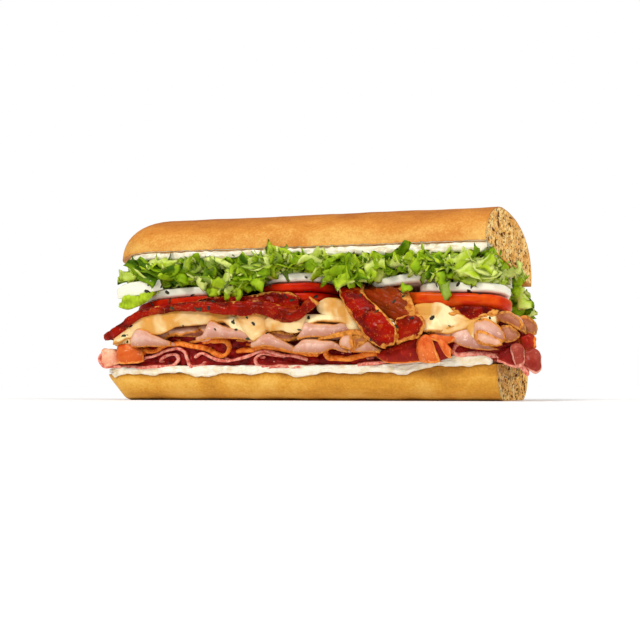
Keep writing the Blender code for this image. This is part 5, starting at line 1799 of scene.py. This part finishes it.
@dataclass
class RoundSlices:
    """Tomato and onion slices."""

    drawing: Drawing
    around: int = 150
    squareness: float = 0.62
    trimmed_from: float = -24.0
    ring_gap: float = 3.4

    def surface(self, oval: Oval, seed: int) -> Skin:
        """A disc: its outline is an uneven oval, and its rim a rounded band between two flat faces.

        Args:
            oval: The slice.
            seed: Seed of its unevenness.

        Returns:
            The closed surface, with skin 1 on the rim and ring along an onion's rings.
        """
        turn = np.linspace(0, math.tau, self.around, endpoint=False)[None, :]
        bend = np.linspace(0, math.pi / 2, 6)
        rim = 0.30 * oval.thickness
        level_low = rim * (1 - np.cos(bend))
        inner = np.array([0.02, 0.2, 0.4, 0.58, 0.72, 0.84, 0.93])
        scale_in = inner * (1 - rim / oval.half_x)
        scale_rim = 1 - rim * (1 - np.sin(bend)) / oval.half_x
        scale = np.concatenate([scale_in, scale_rim, scale_rim[::-1], scale_in[::-1]])[:, None]
        upper_level = oval.thickness - np.concatenate([level_low[::-1], 0 * inner])
        level = np.concatenate([0 * inner, level_low, upper_level])[:, None]
        uneven = 1 + 0.012 * waves(np.cos(turn) * 9, np.sin(turn) * 9, 9.0, seed)
        square = np.where(np.cos(turn) > 0, oval.right_squareness, self.squareness)
        round_x = np.sign(np.cos(turn)) * np.abs(np.cos(turn)) ** square
        round_y = np.sign(np.sin(turn)) * np.abs(np.sin(turn)) ** square
        x = oval.centre + oval.half_x * scale * round_x * uneven
        y = oval.half_y * (1 - (1 - scale) * oval.half_x / oval.half_y) * round_y * uneven
        behind = np.clip(y - self.trimmed_from, 0, None)
        x = x - oval.trim * behind * np.clip((x - oval.centre) / oval.half_x, 0, 1)
        z = self.drawing.settle(oval.centre, y, oval.height + level) + oval.slope * (x - oval.centre)
        z = z + 0.12 * waves(x, y, 14.0, seed + 1)
        ring = 0.5 + 0.5 * np.cos(scale * oval.half_x * math.tau / self.ring_gap + 0 * turn)
        face = (scale < scale_rim[0]) * 1.0
        if oval.finish is Finish.ONION:
            z = z + 0.35 * (ring - 0.5) * face * np.where(level > oval.thickness / 2, 1, -1)
        skin = 1 - face + 0 * turn
        edge_ring = np.where(face > 0, ring, 0.75 + 0.25 * np.sin(level * 2.2 + 0 * turn))
        return loft(np.stack([x, y, z], axis=-1), {"skin": skin, "ring": edge_ring})

    def build(self, bench: Bench) -> None:
        """Makes every round slice."""
        for seed, oval in enumerate(OVALS):
            bench.add(f"{oval.node}_slice", self.surface(oval, 400 + 3 * seed), oval.finish, oval.node)


@dataclass
class Lettuce:
    """The heap of shredded lettuce: a pressed core under hundreds of loose shreds."""

    drawing: Drawing
    bed_x: tuple[float, ...] = (-97, -84, -76, -50, -28, -18, -10, 20, 27, 37, 74, 80, 98)
    bed_height: tuple[float, ...] = (
        54, 55.4, 56.8, 57.6, 58.8, 61.4, 62.2, 62.2, 61.4, 60.2, 60.2, 55.4, 53.6,
    )
    fringe_x: tuple[float, ...] = (
        -95, -78, -50, -45, -34, -29, -24, -17, -12, 4, 14, 22, 25, 30, 35, 41, 48, 63, 70, 78, 96, 106,
    )
    fringe: tuple[float, ...] = (
        57.6, 57.8, 57, 54, 51.5, 51, 52.9, 57, 62, 64.2, 62.5,
        58.4, 54.5, 52, 55, 59, 61.4, 62.4, 59.5, 55.5, 55, 53,
    )
    brim_x: tuple[float, ...] = (-95, -80, -20, 15, 28, 60, 95)
    brim: tuple[float, ...] = (66.0, 69.5, 70.5, 71.5, 68.0, 68.5, 68.0)
    front_count: int = 350
    back_count: int = 360
    end_count: int = 140
    core_left: float = -88.0
    core_right: float = 89.0
    core_half_width: float = 30.0

    def bed(self, x: Array, y: Array) -> Array:
        """Height of the heap's underside."""
        return self.drawing.settle(x, y, np.interp(x, self.bed_x, self.bed_height))

    def roof(self, y: Array) -> Array:
        """Height of the heap's top, under the upper spread."""
        front, back = self.drawing.upper_edges
        return np.interp(y, (-37.0, 37.0), (front, back)) - 4.8

    def core(self) -> Skin:
        """The pressed core: a lumpy slab between the bed and the roof.

        Returns:
            The closed surface.
        """
        x = np.linspace(self.core_left, self.core_right, 190)[:, None]
        y = np.linspace(-self.core_half_width, self.core_half_width, 60)[None, :]
        low = self.bed(x, y) + 0.4 + 3.2 * smoothstep((-46.0 - x) / 8.0)
        high = self.roof(y) - 0.8 + 0.6 * waves(x, y, 6.0, 71)
        ends = np.minimum(x - self.core_left, self.core_right - x)
        share = np.minimum(ends / 3.0, np.minimum(y + self.core_half_width, self.core_half_width - y) / 3.0)
        fat = np.sqrt(np.clip(1 - (1 - np.clip(share, 0, 1)) ** 2, 0, 1))
        middle = np.stack(np.broadcast_arrays(x, y, (low + high) / 2), axis=-1)
        upwards = np.array((0.0, 0.0, 1.0))
        # The core is painted in the leaf's darkest green: painted shade for the gaps between the shreds in
        # front of it.
        return closed_sheet(middle, (high - low) / 2 * fat, {"shade": np.full(fat.shape, -0.35)}, upwards)

    def shreds(
        self, base: Array, heading: Array, facing: Array, length: Array, width: Array, seed: int, light: float
    ) -> Skin:
        """Many curled ribbons at once, each a thin closed leaf on a grid of a few points.

        A ribbon follows an arc from its base and sways. Its width turns about that arc, its two long edges
        ripple, and its cross-section is cupped.

        Args:
            base: Middle point of each ribbon.
            heading: Unit direction of each ribbon.
            facing: Direction that each ribbon's face looks in.
            length: Length of each ribbon.
            width: Width of each ribbon.
            seed: Seed of the curls.
            light: How much paler than the rest these ribbons are: painted light that lifts shreds which sit
                in shade.

        Returns:
            One surface of all the ribbons, with each point's shade and how near it is to the rib.
        """
        rng = np.random.default_rng(seed)
        n = len(base)
        side = unit(np.cross(heading, facing))
        lift = np.cross(side, heading)
        rows, columns = 11, 4
        t = np.linspace(-1, 1, rows)[None, :]
        arc = rng.uniform(0.3, 1.7, (n, 1)) * rng.choice([-1, 1], (n, 1))
        along = length[:, None] / 2 * np.sin(arc * t) / arc
        rise = length[:, None] / 2 * (1 - np.cos(arc * t)) / arc * 0.8
        phase = rng.uniform(0, math.tau, (4, n, 1))
        sway = rng.uniform(-0.2, 0.2, (n, 1)) * length[:, None] * t**2 + 0.5 * np.sin(5 * t + phase[0])
        line = base[:, None] + heading[:, None] * along[..., None] + lift[:, None] * rise[..., None]
        line = line + side[:, None] * sway[..., None]
        twist = rng.uniform(-1.2, 1.2, (n, 1)) * t + rng.uniform(-0.3, 0.3, (n, 1))
        twist = twist + 0.2 * np.sin(6 * t + phase[1])
        turned = side[:, None] * np.cos(twist)[..., None] + lift[:, None] * np.sin(twist)[..., None]
        up = np.cross(turned, heading[:, None])
        taper = (1 - 0.18 * np.abs(t) ** 8) * (1 + 0.14 * np.sin(4 * t + phase[2]))
        v = np.array([-1.0, -0.35, 0.35, 1.0])[None, None, :]
        frill = 0.13 * np.sin(rng.uniform(9, 14, (n, 1)) * t + phase[3])[..., None] * np.abs(v) ** 3
        cup = rng.uniform(-0.45, 0.45, (n, 1, 1)) * v**2 + frill
        half_width = (width[:, None] / 2 * taper)[..., None]
        middle = line[:, :, None] + turned[:, :, None] * (half_width * v)[..., None]
        middle = middle + up[:, :, None] * (half_width * cup)[..., None]
        thick = np.zeros((rows, columns))
        thick[1:-1, 1:-1] = 0.30
        offset = grid_normals(middle) * thick[..., None]
        count, inner = rows * columns, (rows - 2) * (columns - 2)
        upper = np.arange(count).reshape(rows, columns)
        lower = upper.copy()
        lower[1:-1, 1:-1] = np.arange(inner).reshape(rows - 2, columns - 2) + count
        top = (middle + offset).reshape(n, count, 3)
        low = (middle - offset)[:, 1:-1, 1:-1].reshape(n, inner, 3)
        one = np.concatenate([quads(upper)[:, ::-1], quads(lower)])
        faces = (one[None] + (np.arange(n) * (count + inner))[:, None, None]).reshape(-1, 4)
        pale = (rng.uniform(0, 1, (n, 1, 1)) < 0.22) * rng.uniform(0.3, 0.9, (n, 1, 1))
        slope = rng.uniform(-0.2, 0.2, (n, 1, 1)) * v + 0.10 * np.abs(v)
        shade = light + rng.uniform(-0.05, 0.8, (n, 1, 1)) + slope + 0 * t[..., None]
        rib = pale * (1 - np.abs(v)) + 0 * t[..., None]
        values = {}
        for name, numbers in (("shade", shade), ("rib", rib)):
            both = (numbers.reshape(n, count), numbers[:, 1:-1, 1:-1].reshape(n, inner))
            values[name] = np.concatenate(both, axis=1).ravel()
        return Skin(np.concatenate([top, low], axis=1).reshape(-1, 3), [faces], values)

    def band(self, count: int, side: float, seed: int) -> Skin:
        """The loose shreds along one long side, between the ragged line they hang to and the spread above.

        Args:
            count: Number of shreds.
            side: -1 for the front and 1 for the back.
            seed: Seed of their places.

        Returns:
            One surface of all the shreds.
        """
        rng = np.random.default_rng(seed)
        x = rng.uniform(-89, 99, count)
        if side < 0:
            low, high = np.interp(x, self.fringe_x, self.fringe), np.interp(x, self.brim_x, self.brim)
        else:
            low, high = self.bed(x, 37.0) - 1.0, self.roof(37.0) + 2.5
        share = rng.uniform(0, 1, count)
        z = low + 1.5 + (high - low - 3.0) * share
        bulge = np.sqrt(np.clip(1 - (2 * share - 1) ** 2, 0, 1))
        layer = rng.uniform(0.0, 1.0, count) ** 0.6
        below = smoothstep((self.bed(x, side * 37.0) - z) / 3.0)
        y = side * (31.0 + 10.5 * layer * (0.6 + 0.4 * bulge) * (1 - below) + (10.5 + 2.0 * layer) * below)
        steep = rng.uniform(0, 1, count) < 0.25
        angle = np.where(steep, rng.uniform(0.6, 2.2, count), rng.normal(0, 0.5, count))
        heading = unit(np.stack([np.cos(angle), rng.normal(0, 0.25, count), np.sin(angle)], axis=1))
        sideways = rng.normal(0, 0.35, count)
        facing = np.stack([sideways, np.full(count, side), rng.normal(0.45, 0.6, count)], axis=1)
        room = (high - low + 3.0) / np.maximum(np.abs(heading[:, 2]), 0.05)
        length = np.minimum(rng.uniform(11.0, 27.0, count), room)
        width = rng.uniform(3.2, 7.0, count)
        level = 0.46 * length * np.abs(heading[:, 0])
        x = np.clip(x, -91.5 + level, 100.0 - level)
        reach = 0.45 * length * np.abs(heading[:, 2])
        tuft = np.where(rng.uniform(0, 1, count) < 0.1, 2.5, -1.2)
        z = np.clip(z, low + reach - 1.5, high - reach + tuft)
        return self.shreds(np.stack([x, y, z], axis=1), heading, facing, length, width, seed + 1, 0.0)

    def ends(self, seed: int) -> Skin:
        """Loose shreds over the two short ends of the heap.

        Args:
            seed: Seed of their places.

        Returns:
            One surface of all the shreds.
        """
        rng = np.random.default_rng(seed)
        n = self.end_count
        right = rng.uniform(0, 1, n) < 0.55
        y = rng.uniform(-34, 34, n)
        right_x = 93.0 + rng.uniform(0, 3.0, n) - 0.16 * np.clip(y + 10, 0, None)
        x = np.where(right, right_x, -84 - rng.uniform(0, 3, n))
        low, high = self.bed(x, y) + np.where(right, 5.0, 4.0), self.roof(y) + np.where(right, 3.0, 0.0)
        z = low + (high - low) * rng.uniform(0, 1, n)
        angle = rng.uniform(0, math.pi, n)
        heading = unit(np.stack([rng.normal(0, 0.3, n), np.cos(angle), np.sin(angle)], axis=1))
        facing = np.stack([np.where(right, 1.0, -1.0), rng.normal(0, 0.4, n), rng.normal(0, 0.4, n)], axis=1)
        length, width = rng.uniform(8, 12, n), rng.uniform(3, 6, n)
        # These shreds are painted paler: painted light against the shade they sit in at the heap's ends.
        return self.shreds(np.stack([x, y, z], axis=1), heading, facing, length, width, seed + 1, 0.15)

    def hanging(self, seed: int) -> Skin:
        """The leaves that hang down over the tomato and the onion.

        Args:
            seed: Seed of their curls.

        Returns:
            One surface of all the leaves.
        """
        spots = np.array([
            (-37, -43, 55), (-30, -43, 56.5), (-44, -42.5, 57), (-27, -43.5, 53), (-21, -42.5, 55),
            (58.5, -43.8, 52), (77.5, -43.8, 50.5), (76, -43.4, 55), (101, 2, 56), (102.5, 0, 50),
            (104.5, -3, 45.5), (100.5, 6, 60), (101, 1, 62), (102.5, 3, 58.5), (99, -12, 60),
        ])
        heading = unit(np.array([
            (0.3, 0, -0.95), (-0.5, 0, -0.85), (-0.7, 0, -0.6), (0.9, 0, -0.4), (0.5, 0, -0.8),
            (0.95, 0, -0.3), (-0.15, 0, -0.98), (0.2, 0, -0.98), (0.1, 0, -0.95), (0.3, 0.1, -0.9),
            (0.6, 0.1, -0.5), (0.8, 0, -0.5), (0.5, 0, 0.6), (0.7, 0, 0.3), (0.8, 0, 0.2),
        ]))
        length = np.array([12, 9, 10, 10, 8, 9, 11, 9, 11, 12, 9, 10, 9, 8, 9], float)
        width = np.array([7, 5, 6, 5, 5, 4, 4.5, 5, 5, 6, 6, 5, 4, 5, 5], float)
        facing = np.tile((0.1, -1.0, 0.15), (len(spots), 1))
        # These leaves are painted paler: painted light against the shade they hang in.
        return self.shreds(spots, heading, facing, length, width, seed, 0.12)

    def build(self, bench: Bench) -> None:
        """Makes the core and the shreds.

        Args:
            bench: What makes the pieces.
        """
        bench.add("lettuce_core", self.core(), Finish.LEAF, "lettuce")
        front = join([self.band(self.front_count, -1.0, 501), self.ends(520), self.hanging(530)])
        bench.add("lettuce_front", front, Finish.LEAF, "lettuce")
        bench.add("lettuce_back", self.band(self.back_count, 1.0, 540), Finish.LEAF, "lettuce")


@dataclass
class Herbs:
    """Herb flakes and pepper on what faces the front and the back."""

    drawing: Drawing
    count: int = 58
    tries: int = 4000
    span: tuple[float, float] = (-88, 100)
    heights: tuple[float, float] = (28, 62)
    away: float = 90.0
    on: tuple[str, ...] = ("cheese", "ham", "onion", "bacon", "tomato")

    def build(self, bench: Bench) -> None:
        """Drops flakes on the first surface that a level ray meets, where it is one of the wanted kinds.

        Args:
            bench: What makes the pieces.
        """
        graph = bpy.context.evaluated_depsgraph_get()
        trees = {name: BVHTree.FromObject(piece, graph) for name, piece in bench.made.items()}
        rng = np.random.default_rng(61)
        shift = (self.drawing.shift_x, self.drawing.shift_y, 0.0)
        spots, normals = [], []
        for side, count in ((-1.0, self.count), (1.0, self.count // 2)):
            wanted = len(spots) + count
            for _ in range(self.tries):
                if len(spots) == wanted:
                    break
                x, z = rng.uniform(*self.span), rng.uniform(*self.heights)
                start = self.drawing.metres((x, side * self.away, z))
                hits = []
                for name, tree in trees.items():
                    spot, normal, _, far = tree.ray_cast(Vector(start), Vector((0, -side, 0)))
                    if spot is not None:
                        hits.append((far, name, spot, normal))
                if not hits:
                    continue
                _, name, spot, normal = min(hits, key=lambda hit: hit[0])
                if not name.startswith(self.on):
                    continue
                spots.append(np.array(spot) / MM - shift)
                normals.append(np.array(normal))
        bench.add("herb_flakes", self.flakes(np.array(spots), np.array(normals), rng), Finish.HERB)

    def flakes(self, spots: Array, normals: Array, rng: np.random.Generator) -> Skin:
        """Flat broken flakes: each is an uneven six-sided plate lying on its spot.

        Args:
            spots: Where the flakes lie.
            normals: Which way each surface faces there.
            rng: Source of their sizes.

        Returns:
            One surface of all the flakes.
        """
        n = len(spots)
        first = unit(np.cross(normals, rng.normal(size=(n, 3))))
        second = np.cross(normals, first)
        turn = np.linspace(0, math.tau, 6, endpoint=False)[None, :] + rng.uniform(-0.3, 0.3, (n, 6))
        reach = rng.uniform(0.6, 1.65, (n, 1)) * rng.uniform(0.7, 1.2, (n, 6))
        slim = rng.uniform(0.3, 0.7, (n, 1))
        flat = spots[:, None] + first[:, None] * (reach * np.cos(turn))[..., None]
        flat = flat + second[:, None] * (reach * slim * np.sin(turn))[..., None]
        points = np.concatenate([flat + normals[:, None] * 0.26, flat - normals[:, None] * 0.05], axis=1)
        ring = np.arange(6)
        after = np.roll(ring, -1)
        start = (np.arange(n) * 12)[:, None, None]
        walls = np.stack([ring, ring + 6, after + 6, after], axis=1)[None] + start
        top = ring[None, None] + start
        low = (ring + 6)[None, None, ::-1] + start
        faces = [walls.reshape(-1, 4)[:, ::-1], top.reshape(-1, 6), low.reshape(-1, 6)]
        return Skin(points.reshape(-1, 3), faces, {})


@dataclass
class Studio:
    """The pale floor, the soft lights and the camera."""

    drawing: Drawing
    azimuth: float = 20.0
    camera_height: float = 6.0
    frame_side: int = 640
    sensor: float = 36.0
    light_world: float = 0.34
    floor_half: float = 40.0

    def floor(self) -> None:
        """A wide pale floor."""
        size = self.floor_half
        mesh = bpy.data.meshes.new("floor")
        corners = [(-size, -size, 0), (size, -size, 0), (size, size, 0), (-size, size, 0)]
        mesh.from_pydata(corners, [], [(0, 1, 2, 3)])
        floor = bpy.data.objects.new("floor", mesh)
        bpy.context.scene.collection.objects.link(floor)
        paint = Paint("floor")
        paint.set(Base_Color="FFFFFF", Roughness=0.7, Specular_IOR_Level=0.1)
        mesh.materials.append(paint.material)

    def camera(self) -> None:
        """The camera at the photograph's angle: near the floor, to the right of the front."""
        d = self.drawing
        turn = math.radians(self.azimuth)
        forward = Vector((-math.sin(turn), math.cos(turn), 0.0))
        spot = -forward * d.distance + Vector((d.shift_x, d.shift_y, self.camera_height))
        horizon = d.foot_row - d.focus * self.camera_height / d.distance
        tilt = math.atan((horizon - self.frame_side / 2) / d.focus)
        aim = forward * math.cos(tilt) + Vector((0, 0, math.sin(tilt)))
        lens = bpy.data.cameras.new("camera")
        lens.sensor_width = self.sensor
        lens.lens = d.focus / self.frame_side * self.sensor
        lens.shift_x = (self.frame_side / 2 - d.middle_column) / self.frame_side
        lens.clip_start = 0.01
        camera = bpy.data.objects.new("camera", lens)
        camera.location = spot * MM
        camera.rotation_euler = aim.to_track_quat("-Z", "Y").to_euler()
        bpy.context.scene.collection.objects.link(camera)
        bpy.context.scene.camera = camera

    def sun(self, name: str, place: Point, spread: float, power: float, warmth: Point) -> None:
        """A soft distant light.

        Args:
            name: Its name.
            place: Where it shines from, towards the sandwich.
            spread: Its width in degrees.
            power: Its strength.
            warmth: Its red, green and blue.
        """
        lamp = bpy.data.lights.new(name, "SUN")
        lamp.angle = math.radians(spread)
        lamp.energy = power
        lamp.color = warmth
        holder = bpy.data.objects.new(name, lamp)
        holder.rotation_euler = (-Vector(place)).to_track_quat("-Z", "Y").to_euler()
        bpy.context.scene.collection.objects.link(holder)

    def build(self) -> None:
        """Sets the whole stage."""
        self.floor()
        world = bpy.data.worlds.new("world")
        world.use_nodes = True
        tree = world.node_tree
        surface = tree.nodes["Background"]
        surface.inputs["Color"].default_value = (1, 1, 1, 1)
        path = tree.nodes.new("ShaderNodeLightPath")
        level = tree.nodes.new("ShaderNodeMapRange")
        level.inputs["To Min"].default_value = self.light_world
        level.inputs["To Max"].default_value = 1.0
        tree.links.new(path.outputs["Is Camera Ray"], level.inputs["Value"])
        tree.links.new(level.outputs["Result"], surface.inputs["Strength"])
        bpy.context.scene.world = world
        self.sun("key", (-0.35, -1, 0.85), 18, 1.15, (1, 0.985, 0.96))
        self.sun("side", (1, -0.55, 0.6), 35, 0.95, (1, 0.99, 0.97))
        self.sun("top", (0.1, -0.1, 1), 60, 1, (1, 1, 1))
        self.sun("sparkle", (-0.15, -1, 0.75), 3, 0.35, (1, 1, 1))
        self.camera()
        bpy.context.scene.view_settings.view_transform = "Standard"


def main() -> None:
    """Builds the sandwich from the bottom up, then the stage."""
    logging.basicConfig(level=logging.INFO, format="%(message)s")
    drawing = Drawing.from_frame()
    LOG.info("shift %.2f %.2f", drawing.shift_x, drawing.shift_y)
    bench = Bench(drawing)
    halves = Halves(drawing)
    halves.build(bench)
    Spreads(drawing).build(bench, halves)
    FoldedSlices(drawing).build(bench)
    DrapedSlices(drawing).build(bench)
    BaconStrips(drawing).build(bench)
    Petals(drawing).build(bench)
    InnerFolds(drawing).build(bench)
    RoundSlices(drawing).build(bench)
    Lettuce(drawing).build(bench)
    Herbs(drawing).build(bench)
    Studio(drawing).build()
    LOG.info("pieces: %d", len(bench.made))


if __name__ == "__main__":
    main()
